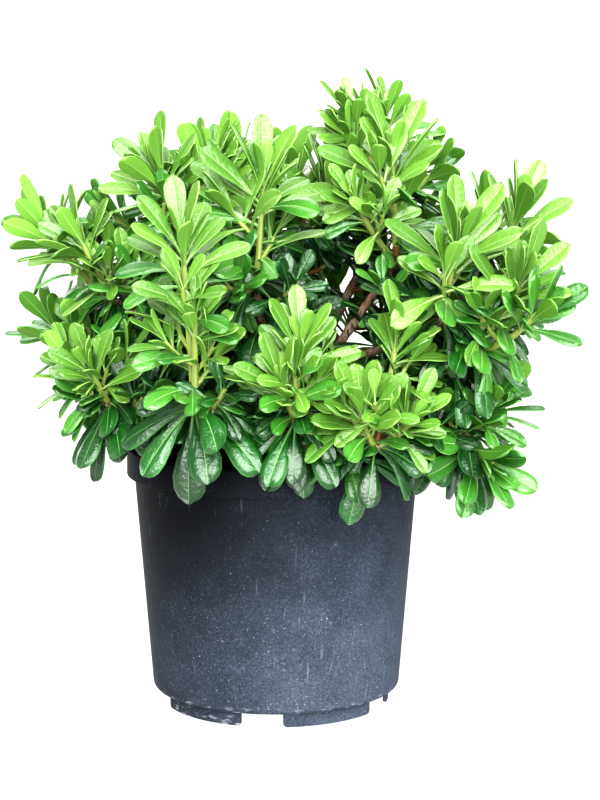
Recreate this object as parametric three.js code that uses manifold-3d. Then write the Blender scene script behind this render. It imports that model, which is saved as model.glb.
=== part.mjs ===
// A dwarf Japanese pittosporum, a bushy evergreen shrub, in its black nursery pot.
// Millimetres, +Z up. The origin is on the floor, on the pot's own axis. The front looks towards -Y.
// A turn is counted in degrees round the pot's axis from the front, positive towards +X.
import * as THREE from 'three';
import { mergeVertices } from 'three/addons/utils/BufferGeometryUtils.js';
import ManifoldModule from 'manifold-3d';

// The pot, a 28 cm nursery container of about 12 litres
const POT_SIDES = 36;
const WALL = 3;
const FOOT_HEIGHT = 14;
const BASE_RADIUS = 116.5;
const BASE_ROUNDING = 4.5;
const NECK_RADIUS = 133;
const BAND_RADIUS = 140;
const BAND_BOTTOM = 218;
const POT_HEIGHT = 244;
const RIM_ROUNDING = 2;
const FLOOR_THICKNESS = 3.5;

// The feet, five pieces of one ring under the floor
const FOOT_COUNT = 5;
const FOOT_RADIUS = 107;
const FOOT_SPAN = 51;
const FOOT_FIRST_TURN = 29.5;
const FOOT_CORNER = 4;
const FOOT_STATIONS = [0, 1.2, FOOT_CORNER];
const FOOT_MIDDLE_STEPS = 4;
const FOOT_SINK = 1;

// The potting mix, level with the step inside the band and a little heaped in the middle
const SOIL_TOP = BAND_BOTTOM;
const SOIL_CROWN = 5;

// Clearance between pieces that meet, and how far a piece is grown to be tried against its neighbours
const GAP = 0.3;
const SOIL_GAP = 0.36;
const LIMB_GROWTH = 0.45;
const LEAF_GROWTH = 0.5;

// Points closer than this are one, and edges shorter than this are closed up
const WELD = 0.001;
const SLIVER = 0.05;

// The short stem in the middle of the pot
const TRUNK_SIDES = 8;
const TRUNK_LEAN = new THREE.Vector3(3, -2, 0);
const TRUNK_RINGS = [
  { height: 0, radius: 19 },
  { height: 6, radius: 15 },
  { height: 18, radius: 12.5 },
  { height: 34, radius: 11.5 },
  { height: 46, radius: 12 },
];

// The boughs, which start between two shares of the trunk's height, the steeper ones higher up
const BOUGH_STARTS = [0.35, 0.72];
const BOUGH_SIDES = 6;
const BOUGH_RINGS = 5;
const BOUGH_FOOT_RADIUS = 5.6;
const SIDE_BOUGH_FOOT_RADIUS = 4.6;
const BOUGH_TIP_RADIUS = 3.6;
const BOUGH_SAG = 0.12;

// The twigs of a mass
const TWIG_SIDES = 3;
const TWIG_RINGS = 3;
const TWIG_FOOT_RADIUS = 3.5;
const TWIG_TIP_RADIUS = 2.7;
const TWIG_SAG = 0.225;
const KNUCKLE_LENGTH = 10;
const KNUCKLE_RADII = [4.1, 4.6, 3.4];
const TWIG_SINK = 6;

// The leaves, spoon-shaped, widest two thirds of the way along
const LEAF_LENGTH = 68;
const LEAF_WIDTH = 0.37;
const LEAF_THICKNESS = 1.8;
const LEAF_RIDGE_AT = 0.4;
const LEAF_WIDE_AT = 0.7;
const LEAF_END_AT = 0.98;
const LEAF_END_WIDTH = 0.5;
const LEAF_CUP = 0.1;
const LEAF_SINK = 0.5;
const GOLDEN_TURN = 137.5;

// How the leaves stand on a shoot: round its tip, along its stem, and round the old knuckle under it
const ROSETTE = {
  count: 7,
  depth: 24,
  tilt: [56, 13],
  arch: [22, 8],
  size: [1, 0.9],
  recurve: 1,
  droop: 0.2,
};
const ALONG = { spacing: 30, start: 16, tilt: 76, arch: 40, size: 0.9, recurve: 0.8, droop: 0.5 };
const SKIRT = { count: 4, upright: 0.5, tilt: 98, arch: 52, recurve: 0.5, droop: 0.9 };

// The old leaves that hang in a fan from the outer side of each mass that sits below a height
const FAN = {
  below: 305,
  count: 5,
  spread: 84,
  tilt: [150, 112],
  arch: 24,
  size: 1.08,
  recurve: 0.3,
  droop: 1,
};

// The light falls in from above and from all round a middle. Each leaf rolls to turn its face to it, and
// each shoot starts its spiral of leaves so that the rosette opens towards it, a little to one side or other.
const LIGHT = { roll: 46, middle: new THREE.Vector3(0, 100, 0), rise: 0.6, open: 260, wander: 25 };
const TILT_SPREAD = 7;
const SIZE_SPREAD = 0.07;

// The gap that the sky shows through, a level tunnel from front to back that leaves stay out of
const SKY = { x: 69, z: 372, halfWidth: 17, halfHeight: 38, slope: -0.11 };

// The seed of the shrub, and the step from the seed of one mass to that of the next
const SEED = 41;
const SEED_STEP = 101;

// The boughs that the photo shows. Each has its root, the turn, reach and height of its tip, and its
// shoots: turn, lift above level, length, and the size of the leaves against the usual ones.
// The skirt is the size of the old leaves round the tip.
const SHOWN_BOUGHS = [
  { name: 'front_left', root: 'trunk', turn: -24, reach: 164, height: 300, skirt: 1.12,
    shoots: [[-90, 86, 138, 1], [5, 79, 82, 0.65]] },
  { name: 'left', root: 'trunk', turn: -97, reach: 146, height: 371, skirt: 0.9,
    shoots: [[-66, 60, 66, 0.95], [-124, 38, 102, 1]] },
  { name: 'middle', root: 'trunk', turn: -11, reach: 82, height: 396, skirt: 0.9,
    shoots: [[90, 86, 88, 1.15], [-43, 5, 41, 0.7]] },
  { name: 'crest', root: 'trunk', turn: 65, reach: 118, height: 415, skirt: 1,
    shoots: [[-90, 87, 89, 1.15], [-52, 50, 75, 0.7]] },
  { name: 'far_right', root: 'trunk', turn: 56, reach: 202, height: 341, skirt: 1,
    shoots: [[64, 53, 79, 0.95], [54, 30, 80, 0.85]] },
  { name: 'front_right', root: 'trunk', turn: 28, reach: 181, height: 266, skirt: 0.9,
    shoots: [[-38, 58, 36, 1], [80, 42, 38, 0.8], [136, 73, 96, 0.85]] },
  { name: 'top_left', root: 'trunk', turn: -108, reach: 95, height: 434, skirt: 0.9,
    shoots: [[-54, 73, 57, 1], [141, 53, 90, 0.8], [-109, 11, 63, 0.8]] },
  { name: 'top_back', root: 'trunk', turn: 122, reach: 133, height: 465, skirt: 0.8,
    shoots: [[-78, 58, 90, 0.75], [-151, 73, 83, 0.75], [73, 34, 38, 0.75]] },
  { name: 'high_right', root: 'trunk', turn: 88, reach: 198, height: 356, skirt: 0.9,
    shoots: [[48, 77, 96, 1.05], [160, 28, 94, 0.9], [-176, 57, 106, 0.9]] },
  { name: 'left_low', root: 'left', at: 0.45, turn: -97, reach: 150, height: 299, skirt: 0.8,
    shoots: [[-134, 28, 94, 0.9], [-8, -4, 70, 0.85]] },
  { name: 'right', root: 'crest', at: 0.42, turn: 52, reach: 181, height: 372, skirt: 0.85,
    shoots: [[70, 77, 64, 1.15]] },
  { name: 'front', root: 'front_right', at: 0.4, turn: 7, reach: 161, height: 289, skirt: 0.9,
    shoots: [[90, 86, 63, 0.9], [-39, 60, 38, 0.85], [125, 49, 79, 0.6]] },
  { name: 'low_right', root: 'far_right', at: 0.5, turn: 61, reach: 188, height: 267, skirt: 1,
    shoots: [[32, -36, 28, 1], [138, 27, 62, 0.75]] },
  { name: 'low_left', root: 'left', at: 0.3, turn: -66, reach: 158, height: 290, skirt: 0.95,
    shoots: [[-120, 38, 52, 0.8], [-30, 50, 48, 0.8]] },
];

// The boughs of the far side, in tiers, by rule. Each ends in two shoots, one to each side.
const HIDDEN_TIERS = [
  { name: 'back_low', count: 4, first: 112, last: 252, reach: 143, height: 290 },
  { name: 'back_mid', count: 3, first: 138, last: 228, reach: 126, height: 366 },
  { name: 'back_high', count: 2, first: 155, last: 215, reach: 72, height: 428 },
];
const HIDDEN_SIDE_TURNS = [-42, 42];
const HIDDEN_LIFTS = [42, 74];
const HIDDEN_LENGTHS = [58, 78];
const HIDDEN_SKIRT = 1;

// The colours and the roughness of the plain solids
const FINISHES = {
  pot: { color: 0x26282b, roughness: 0.6 },
  soil: { color: 0x3a2c22, roughness: 0.95 },
  bark: { color: 0x75685a, roughness: 0.9 },
  foliage: { color: 0x4f8f3a, roughness: 0.5 },
};

const UP = new THREE.Vector3(0, 0, 1);
const wasm = await ManifoldModule();
wasm.setup();
const { Manifold, Mesh: SolidMesh } = wasm;

function radians(degrees) {
  return THREE.MathUtils.degToRad(degrees);
}

function mix(from, to, share) {
  return from + (to - from) * share;
}

// A seeded stream of numbers from 0 to 1
function randomStream(seed) {
  let state = seed >>> 0;
  return () => {
    state = (state + 0x6d2b79f5) >>> 0;
    let mixed = Math.imul(state ^ (state >>> 15), 1 | state);
    mixed = (mixed + Math.imul(mixed ^ (mixed >>> 7), 61 | mixed)) ^ mixed;
    return ((mixed ^ (mixed >>> 14)) >>> 0) / 2 ** 32;
  };
}

// The direction that a turn round the pot and a lift above level give
function heading(turn, lift) {
  const level = Math.cos(radians(lift));
  return new THREE.Vector3(
    Math.sin(radians(turn)) * level,
    -Math.cos(radians(turn)) * level,
    Math.sin(radians(lift)),
  );
}

// A smooth curve of three points, with its direction at any share of its way
function bend(start, middle, end) {
  return new THREE.QuadraticBezierCurve3(start, middle, end);
}

// Two directions square to a given one, always chosen the same way
function squareTo(axis) {
  const helper = Math.abs(axis.x) < 0.8 ? new THREE.Vector3(1, 0, 0) : new THREE.Vector3(0, 1, 0);
  const side = helper.sub(axis.clone().multiplyScalar(helper.dot(axis))).normalize();
  return [side, axis.clone().cross(side)];
}

function solidFromPoints(points, faces) {
  const mesh = new SolidMesh({
    numProp: 3,
    vertProperties: new Float32Array(points.flatMap((point) => point.toArray())),
    triVerts: new Uint32Array(faces.flat()),
  });
  return new Manifold(mesh);
}

function solidFromGeometry(geometry) {
  const bare = new THREE.BufferGeometry();
  bare.setAttribute('position', geometry.getAttribute('position'));
  bare.setIndex(geometry.getIndex());
  const welded = mergeVertices(bare, WELD);
  const index = welded.getIndex().array;
  const faces = [];
  for (let i = 0; i < index.length; i += 3) {
    const [a, b, c] = [index[i], index[i + 1], index[i + 2]];
    if (a !== b && b !== c && c !== a) {
      faces.push([a, b, c]);
    }
  }
  const places = welded.getAttribute('position');
  const pointAt = (_, i) => new THREE.Vector3().fromBufferAttribute(places, i);
  const points = Array.from({ length: places.count }, pointAt);
  return solidFromPoints(points, faces);
}

// A tube along a curve, with a flat cut at both ends
function tube(curve, radii, sides) {
  const points = [];
  const faces = [];
  radii.forEach((radius, ring) => {
    const share = ring / (radii.length - 1);
    const centre = curve.getPoint(share);
    const [side, front] = squareTo(curve.getTangent(share).normalize());
    for (let k = 0; k < sides; k += 1) {
      const angle = (2 * Math.PI * k) / sides;
      points.push(centre.clone()
        .addScaledVector(side, radius * Math.cos(angle))
        .addScaledVector(front, radius * Math.sin(angle)));
    }
  });
  for (let ring = 0; ring < radii.length - 1; ring += 1) {
    for (let k = 0; k < sides; k += 1) {
      const a = ring * sides + k;
      const b = ring * sides + ((k + 1) % sides);
      faces.push([a, b, b + sides], [a, b + sides, a + sides]);
    }
  }
  const last = (radii.length - 1) * sides;
  for (let k = 1; k < sides - 1; k += 1) {
    faces.push([0, k + 1, k], [last, last + k, last + k + 1]);
  }
  return solidFromPoints(points, faces);
}

// A solid turned on the pot's axis from pairs of radius and height
function turned(profile) {
  const lathe = new THREE.LatheGeometry(profile.map(([r, z]) => new THREE.Vector2(r, z)), POT_SIDES);
  lathe.rotateX(Math.PI / 2);
  const solid = solidFromGeometry(lathe);
  if (solid.volume() > 0) {
    return solid;
  }
  lathe.setIndex([...lathe.getIndex().array].reverse());
  return solidFromGeometry(lathe);
}

function wallRadius(height) {
  const share = (height - FOOT_HEIGHT) / (BAND_BOTTOM - FOOT_HEIGHT);
  return mix(BASE_RADIUS, NECK_RADIUS, share);
}

function makeFoot(turn) {
  const half = FOOT_SPAN / 2;
  const degreesPerMm = 180 / (Math.PI * FOOT_RADIUS);
  const stations = [];
  for (const inset of FOOT_STATIONS) {
    const rise = FOOT_CORNER - Math.sqrt(FOOT_CORNER ** 2 - (FOOT_CORNER - inset) ** 2);
    stations.push({ turn: -half + inset * degreesPerMm, bottom: rise });
  }
  const inner = half - FOOT_CORNER * degreesPerMm;
  const middle = [];
  for (let i = 1; i < FOOT_MIDDLE_STEPS; i += 1) {
    middle.push({ turn: mix(-inner, inner, i / FOOT_MIDDLE_STEPS), bottom: 0 });
  }
  const mirrored = stations.map((station) => ({ turn: -station.turn, bottom: station.bottom })).reverse();
  const all = [...stations, ...middle, ...mirrored];
  const points = all.flatMap((station) => {
    const out = heading(turn + station.turn, 0);
    const corner = (radius, height) => out.clone().multiplyScalar(radius).setZ(height);
    return [
      corner(FOOT_RADIUS - WALL, station.bottom),
      corner(FOOT_RADIUS, station.bottom),
      corner(FOOT_RADIUS, FOOT_HEIGHT + FOOT_SINK),
      corner(FOOT_RADIUS - WALL, FOOT_HEIGHT + FOOT_SINK),
    ];
  });
  const faces = [[0, 1, 2], [0, 2, 3]];
  for (let i = 0; i < all.length - 1; i += 1) {
    for (let k = 0; k < 4; k += 1) {
      const a = 4 * i + k;
      const b = 4 * i + ((k + 1) % 4);
      faces.push([a, a + 4, b + 4], [a, b + 4, b]);
    }
  }
  const end = 4 * (all.length - 1);
  faces.push([end, end + 2, end + 1], [end, end + 3, end + 2]);
  return solidFromPoints(points, faces);
}

function makePot() {
  const midway = BASE_ROUNDING * (1 - Math.SQRT1_2);
  const shell = turned([
    [0, FOOT_HEIGHT],
    [BASE_RADIUS - BASE_ROUNDING, FOOT_HEIGHT],
    [BASE_RADIUS - midway, FOOT_HEIGHT + midway],
    [wallRadius(FOOT_HEIGHT + BASE_ROUNDING), FOOT_HEIGHT + BASE_ROUNDING],
    [NECK_RADIUS, BAND_BOTTOM],
    [BAND_RADIUS, BAND_BOTTOM],
    [BAND_RADIUS, POT_HEIGHT - RIM_ROUNDING],
    [BAND_RADIUS - RIM_ROUNDING, POT_HEIGHT],
    [BAND_RADIUS - WALL, POT_HEIGHT],
    [BAND_RADIUS - WALL, BAND_BOTTOM + WALL],
    [NECK_RADIUS - WALL, BAND_BOTTOM],
    [BASE_RADIUS - WALL, FOOT_HEIGHT + FLOOR_THICKNESS],
    [0, FOOT_HEIGHT + FLOOR_THICKNESS],
  ]);
  const footTurn = (i) => FOOT_FIRST_TURN + (360 / FOOT_COUNT) * i;
  const feet = Array.from({ length: FOOT_COUNT }, (_, i) => makeFoot(footTurn(i)));
  return Manifold.union([shell, ...feet]);
}

function makeSoil() {
  const clear = WALL + SOIL_GAP;
  return turned([
    [0, FOOT_HEIGHT + FLOOR_THICKNESS + GAP],
    [BASE_RADIUS - clear, FOOT_HEIGHT + FLOOR_THICKNESS + GAP],
    [NECK_RADIUS - clear, SOIL_TOP],
    [0, SOIL_TOP + SOIL_CROWN],
  ]);
}

// What is already in place: the space that others stay out of, the box round it and its node
const placed = [];

function place(node, space) {
  placed.push({ node, space, box: space.boundingBox() });
}

function boxesMeet(one, other) {
  return [0, 1, 2].every((k) => one.min[k] <= other.max[k] && other.min[k] <= one.max[k]);
}

function touchesOthers(node, solid) {
  const box = solid.boundingBox();
  return placed.some((thing) => (
    thing.node !== node && boxesMeet(box, thing.box) && !solid.intersect(thing.space).isEmpty()
  ));
}

// The largest body of a solid, without scraps and without hollows sealed inside it
function mainBody(solid) {
  const bodies = solid.decompose();
  return bodies.reduce((best, body) => (body.volume() > best.volume() ? body : best));
}

const trunkHeight = TRUNK_RINGS.at(-1).height;
const trunkFoot = new THREE.Vector3(0, 0, SOIL_TOP + SOIL_CROWN + GAP);
const trunkTop = trunkFoot.clone().add(TRUNK_LEAN).setZ(trunkFoot.z + trunkHeight);

function trunkPoint(height) {
  return trunkFoot.clone().lerp(trunkTop, height / trunkHeight);
}

function makeTrunk(growth) {
  const points = [];
  const faces = [];
  const rings = TRUNK_RINGS.map((ring, i) => ({
    radius: ring.radius + growth,
    height: ring.height + (i === 0 ? -growth : 0) + (i === TRUNK_RINGS.length - 1 ? growth : 0),
  }));
  rings.forEach((ring) => {
    const centre = trunkPoint(ring.height);
    for (let k = 0; k < TRUNK_SIDES; k += 1) {
      points.push(centre.clone().addScaledVector(heading((360 / TRUNK_SIDES) * k, 0), ring.radius));
    }
  });
  for (let ring = 0; ring < rings.length - 1; ring += 1) {
    for (let k = 0; k < TRUNK_SIDES; k += 1) {
      const a = ring * TRUNK_SIDES + k;
      const b = ring * TRUNK_SIDES + ((k + 1) % TRUNK_SIDES);
      faces.push([a, b, b + TRUNK_SIDES], [a, b + TRUNK_SIDES, a + TRUNK_SIDES]);
    }
  }
  const last = (rings.length - 1) * TRUNK_SIDES;
  for (let k = 1; k < TRUNK_SIDES - 1; k += 1) {
    faces.push([0, k + 1, k], [last, last + k, last + k + 1]);
  }
  return solidFromPoints(points, faces);
}

// The boughs of the far side, with their shoots drawn by the seeded rule
function hiddenBoughs() {
  const random = randomStream(SEED);
  const between = (range) => mix(range[0], range[1], random());
  return HIDDEN_TIERS.flatMap((tier) => Array.from({ length: tier.count }, (_, i) => {
    const turn = mix(tier.first, tier.last, i / (tier.count - 1));
    const shoots = HIDDEN_SIDE_TURNS.map((side) => (
      [turn + side, between(HIDDEN_LIFTS), between(HIDDEN_LENGTHS), 1]
    ));
    return {
      name: `${tier.name}_${i + 1}`,
      root: 'trunk',
      turn,
      reach: tier.reach,
      height: tier.height,
      skirt: HIDDEN_SKIRT,
      shoots,
    };
  }));
}

// The way of a bough from its root to its tip, bowed towards level unless it is steep
function boughPath(spec, paths) {
  const steepness = THREE.MathUtils.clamp((spec.height - trunkTop.z) / spec.reach, 0, 1);
  const tip = heading(spec.turn, 0).multiplyScalar(spec.reach).setZ(spec.height);
  const start = spec.root === 'trunk'
    ? trunkPoint(trunkHeight * mix(BOUGH_STARTS[0], BOUGH_STARTS[1], steepness))
    : paths[spec.root].getPoint(spec.at);
  const middle = start.clone().lerp(tip, 0.5);
  middle.z -= start.distanceTo(tip) * BOUGH_SAG * Math.cos(radians(90 * steepness));
  return bend(start, middle, tip);
}

function taper(from, to, count, growth) {
  return Array.from({ length: count }, (_, i) => mix(from, to, i / (count - 1)) + growth);
}

// The turn round a stem's tip at which it faces the light
function turnToLight(tip, axis) {
  const [side, front] = squareTo(axis);
  const away = tip.clone().sub(LIGHT.middle).setZ(0);
  return THREE.MathUtils.radToDeg(Math.atan2(away.dot(front), away.dot(side)));
}

// The roll by which a leaf turns its face to the light
function rollToLight(root, start, face) {
  const away = root.clone().addScaledVector(start, LEAF_LENGTH / 2).sub(LIGHT.middle).setZ(0).normalize();
  const light = away.addScaledVector(UP, LIGHT.rise).normalize();
  const over = face.dot(light);
  const beside = start.clone().cross(face).dot(light);
  return (LIGHT.roll * beside) / Math.hypot(over, beside);
}

// The leaf's middle line and the way across it, from where and how it stands
function layLeaf(root, axis, leaf) {
  const [side, front] = squareTo(axis);
  const out = side.multiplyScalar(Math.cos(radians(leaf.turn)))
    .addScaledVector(front, Math.sin(radians(leaf.turn)));
  const start = axis.clone().multiplyScalar(Math.cos(radians(leaf.tilt)))
    .addScaledVector(out, Math.sin(radians(leaf.tilt)));
  const pull = axis.clone().multiplyScalar(-leaf.recurve).addScaledVector(UP, -leaf.droop);
  pull.addScaledVector(start, -pull.dot(start)).normalize();
  const end = start.clone().multiplyScalar(Math.cos(radians(leaf.arch)))
    .addScaledVector(pull, Math.sin(radians(leaf.arch)));
  const roll = leaf.roll + rollToLight(root, start, pull.clone().negate());
  const across = start.clone().cross(pull).applyAxisAngle(start, radians(roll));
  return { root, start, end, across, length: leaf.length, width: leaf.length * LEAF_WIDTH };
}

// A point of a leaf at a share of its length, to one side and above or below its middle
function leafPoint(leaf, share, side, lift) {
  const half = leaf.length / 2;
  const middle = leaf.root.clone().addScaledVector(leaf.start, half * (2 * share - share * share))
    .addScaledVector(leaf.end, half * share * share);
  const along = leaf.start.clone().multiplyScalar(1 - share).addScaledVector(leaf.end, share).normalize();
  const face = along.cross(leaf.across).normalize();
  return middle.addScaledVector(leaf.across, side).addScaledVector(face, lift);
}

// A leaf of ten faces: a fan over and a fan under its rounded outline
function leafSolid(leaf, growth = 0) {
  const half = leaf.width / 2 + growth;
  const deep = LEAF_THICKNESS / 2 + growth;
  const cup = -LEAF_CUP * leaf.width;
  const endAt = LEAF_END_AT + growth / leaf.length;
  const outline = [
    leaf.root.clone().addScaledVector(leaf.start, -LEAF_SINK),
    leafPoint(leaf, LEAF_WIDE_AT, -half, cup),
    leafPoint(leaf, endAt, -half * LEAF_END_WIDTH, cup * LEAF_END_WIDTH),
    leafPoint(leaf, endAt, half * LEAF_END_WIDTH, cup * LEAF_END_WIDTH),
    leafPoint(leaf, LEAF_WIDE_AT, half, cup),
  ];
  const above = outline.length;
  const below = above + 1;
  const ridge = [deep, -deep].map((lift) => leafPoint(leaf, LEAF_RIDGE_AT, 0, lift));
  const faces = [];
  for (let i = 0; i < outline.length; i += 1) {
    const next = (i + 1) % outline.length;
    faces.push([above, i, next], [below, next, i]);
  }
  return solidFromPoints([...outline, ...ridge], faces);
}

function inSky(point) {
  const across = (point.x - SKY.x) / SKY.halfWidth;
  const high = (point.z - SKY.z - SKY.slope * point.y) / SKY.halfHeight;
  return across * across + high * high < 1;
}

// One shoot: its stem from the knuckle to its heart, and how its leaves stand
function growShoot(foot, shoot, random) {
  const [turn, lift, length, size] = shoot;
  const jitter = (spread) => spread * (2 * random() - 1);
  const way = heading(turn, lift);
  const heart = foot.clone().addScaledVector(way, length);
  const sag = length * TWIG_SAG * Math.cos(radians(lift));
  const middle = foot.clone().lerp(heart, 0.5).addScaledVector(UP, -sag);
  const curve = bend(foot, middle, heart);
  const phase = turnToLight(heart, curve.getTangent(1).normalize()) - LIGHT.open + jitter(LIGHT.wander);
  const leafLength = LEAF_LENGTH * size;
  const rosette = [];
  for (let i = 0; i < ROSETTE.count; i += 1) {
    const inner = i / (ROSETTE.count - 1);
    const share = 1 - (ROSETTE.depth * (1 - inner)) / length;
    rosette.push(layLeaf(curve.getPoint(share), curve.getTangent(share).normalize(), {
      turn: phase + GOLDEN_TURN * i + jitter(TILT_SPREAD),
      tilt: mix(ROSETTE.tilt[0], ROSETTE.tilt[1], inner) + jitter(TILT_SPREAD),
      arch: mix(ROSETTE.arch[0], ROSETTE.arch[1], inner) + jitter(TILT_SPREAD),
      roll: jitter(TILT_SPREAD),
      length: leafLength * mix(ROSETTE.size[0], ROSETTE.size[1], inner) * (1 + jitter(SIZE_SPREAD)),
      recurve: ROSETTE.recurve,
      droop: ROSETTE.droop,
    }));
  }
  const along = [];
  for (let at = ALONG.start; at < length - ROSETTE.depth; at += ALONG.spacing) {
    const share = at / length;
    along.push(layLeaf(curve.getPoint(share), curve.getTangent(share).normalize(), {
      turn: phase - GOLDEN_TURN * (along.length + 1) + jitter(TILT_SPREAD),
      tilt: ALONG.tilt + jitter(TILT_SPREAD),
      arch: ALONG.arch + jitter(TILT_SPREAD),
      roll: jitter(TILT_SPREAD),
      length: leafLength * ALONG.size * (1 + jitter(SIZE_SPREAD)),
      recurve: ALONG.recurve,
      droop: ALONG.droop,
    }));
  }
  const radii = (growth) => taper(TWIG_FOOT_RADIUS, TWIG_TIP_RADIUS, TWIG_RINGS, growth);
  const stem = tube(curve, radii(0), TWIG_SIDES);
  const grownStem = tube(curve, radii(LIMB_GROWTH), TWIG_SIDES);
  return { stem, grownStem, rosette, along };
}

// The old leaves that stand round the fork of a mass
function growSkirt(fork, axis, size, random) {
  const jitter = (spread) => spread * (2 * random() - 1);
  const phase = 360 * random();
  const upright = axis.clone().lerp(UP, SKIRT.upright).normalize();
  return Array.from({ length: SKIRT.count }, (_, i) => layLeaf(fork, upright, {
    turn: phase + (360 / SKIRT.count) * i + jitter(TILT_SPREAD),
    tilt: SKIRT.tilt + jitter(TILT_SPREAD),
    arch: SKIRT.arch + jitter(TILT_SPREAD),
    roll: jitter(TILT_SPREAD),
    length: LEAF_LENGTH * size * (1 + jitter(SIZE_SPREAD)),
    recurve: SKIRT.recurve,
    droop: SKIRT.droop,
  }));
}

// The old leaves that hang from the outer side of a low mass
function growFan(fork, outward, size, random) {
  const jitter = (spread) => spread * (2 * random() - 1);
  return Array.from({ length: FAN.count }, (_, i) => {
    const spread = mix(-1, 1, i / (FAN.count - 1));
    return layLeaf(fork, UP, {
      turn: outward - 90 + FAN.spread * spread + jitter(TILT_SPREAD),
      tilt: mix(FAN.tilt[0], FAN.tilt[1], Math.abs(spread)) + jitter(TILT_SPREAD),
      arch: FAN.arch + jitter(TILT_SPREAD),
      roll: jitter(TILT_SPREAD),
      length: LEAF_LENGTH * FAN.size * size * (1 + jitter(SIZE_SPREAD)),
      recurve: FAN.recurve,
      droop: FAN.droop,
    });
  });
}

// One mass: the knuckle that meets the bough's tip, its shoots, and the old leaves round the knuckle
function growMass(spec, path, index) {
  const node = `mass_${spec.name}`;
  const random = randomStream(SEED + SEED_STEP * (index + 1));
  const axis = path.getTangent(1).normalize();
  const foot = path.getPoint(1).addScaledVector(axis, GAP);
  const knuckleEnd = foot.clone().addScaledVector(axis, KNUCKLE_LENGTH);
  const knuckle = tube(new THREE.LineCurve3(foot, knuckleEnd), KNUCKLE_RADII, BOUGH_SIDES);
  const fork = foot.clone().addScaledVector(axis, TWIG_SINK);
  const shoots = spec.shoots.map((shoot) => growShoot(fork, shoot, random));
  const skirt = growSkirt(fork, axis, spec.skirt, random);
  const fan = spec.height < FAN.below ? growFan(fork, spec.turn, spec.skirt, random) : [];
  return { node, knuckle, shoots, old: [...skirt, ...fan], pieces: [knuckle] };
}

// Fuses the leaves of one kind onto their masses, past none that would touch another node or hide the sky
function fuseLeaves(mass, leaves) {
  for (const leaf of leaves) {
    const hidesSky = inSky(leafPoint(leaf, LEAF_WIDE_AT, 0, 0)) || inSky(leafPoint(leaf, 1, 0, 0));
    const space = leafSolid(leaf, LEAF_GROWTH);
    if (hidesSky || touchesOthers(mass.node, space)) {
      continue;
    }
    mass.pieces.push(leafSolid(leaf));
    place(mass.node, space);
  }
}

function meshOf(name, solid, finish) {
  const data = solid.getMesh();
  const geometry = new THREE.BufferGeometry();
  geometry.setAttribute('position', new THREE.BufferAttribute(new Float32Array(data.vertProperties), 3));
  geometry.setIndex(new THREE.BufferAttribute(new Uint32Array(data.triVerts), 1));
  geometry.computeVertexNormals();
  const mesh = new THREE.Mesh(geometry, new THREE.MeshStandardMaterial(finish));
  mesh.name = name;
  return mesh;
}

// The boughs in turn, each cut where it would run into those before it, and the masses on their tips
function growBoughs(group) {
  const grownLimbs = [makeTrunk(LIMB_GROWTH)];
  const paths = {};
  return [...SHOWN_BOUGHS, ...hiddenBoughs()].map((spec, index) => {
    const node = `bough_${spec.name}`;
    const path = boughPath(spec, paths);
    paths[spec.name] = path;
    const footRadius = spec.root === 'trunk' ? BOUGH_FOOT_RADIUS : SIDE_BOUGH_FOOT_RADIUS;
    const radii = (growth) => taper(footRadius, BOUGH_TIP_RADIUS, BOUGH_RINGS, growth);
    const whole = tube(path, radii(0), BOUGH_SIDES);
    const bough = mainBody(Manifold.difference([whole, ...grownLimbs]));
    const grown = tube(path, radii(LIMB_GROWTH), BOUGH_SIDES);
    grownLimbs.push(grown);
    place(node, grown);
    group.add(meshOf(node, bough, FINISHES.bark));
    return growMass(spec, path, index);
  });
}

// Places the knuckle and the stems of a mass, without a stem that would touch another node
function placeStems(mass) {
  place(mass.node, mass.knuckle);
  mass.shoots = mass.shoots.filter((shoot) => !touchesOthers(mass.node, shoot.grownStem));
  for (const shoot of mass.shoots) {
    mass.pieces.push(shoot.stem);
    place(mass.node, shoot.grownStem);
  }
}

function build() {
  const group = new THREE.Group();
  group.name = 'potted_dwarf_japanese_pittosporum';
  const core = [
    ['pot', makePot(), FINISHES.pot],
    ['soil', makeSoil(), FINISHES.soil],
    ['trunk', makeTrunk(0), FINISHES.bark],
  ];
  for (const [name, solid, finish] of core) {
    place(name, solid);
    group.add(meshOf(name, solid, finish));
  }
  const masses = growBoughs(group);
  masses.forEach(placeStems);
  masses.forEach((mass) => mass.shoots.forEach((shoot) => fuseLeaves(mass, shoot.rosette)));
  masses.forEach((mass) => mass.shoots.forEach((shoot) => fuseLeaves(mass, shoot.along)));
  masses.forEach((mass) => fuseLeaves(mass, mass.old));
  for (const mass of masses) {
    const fused = mainBody(Manifold.union(mass.pieces)).asOriginal().simplify(SLIVER);
    group.add(meshOf(mass.node, fused, FINISHES.foliage));
  }
  return group;
}

export default build();
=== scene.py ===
"""Dresses the potted dwarf Japanese pittosporum: its pot, potting mix, limbs, twigs and leaves.

Every object is in metres, with +Z up and the front towards -Y. The rule by which the shrub grows works
in millimetres, because it is the same rule, with the same draws, that made the solids.
"""

import logging
import math
from collections.abc import Callable, Iterable
from dataclasses import dataclass, field
from enum import Enum

import bmesh
import bpy
import numpy as np
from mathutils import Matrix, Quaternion, Vector


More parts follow.
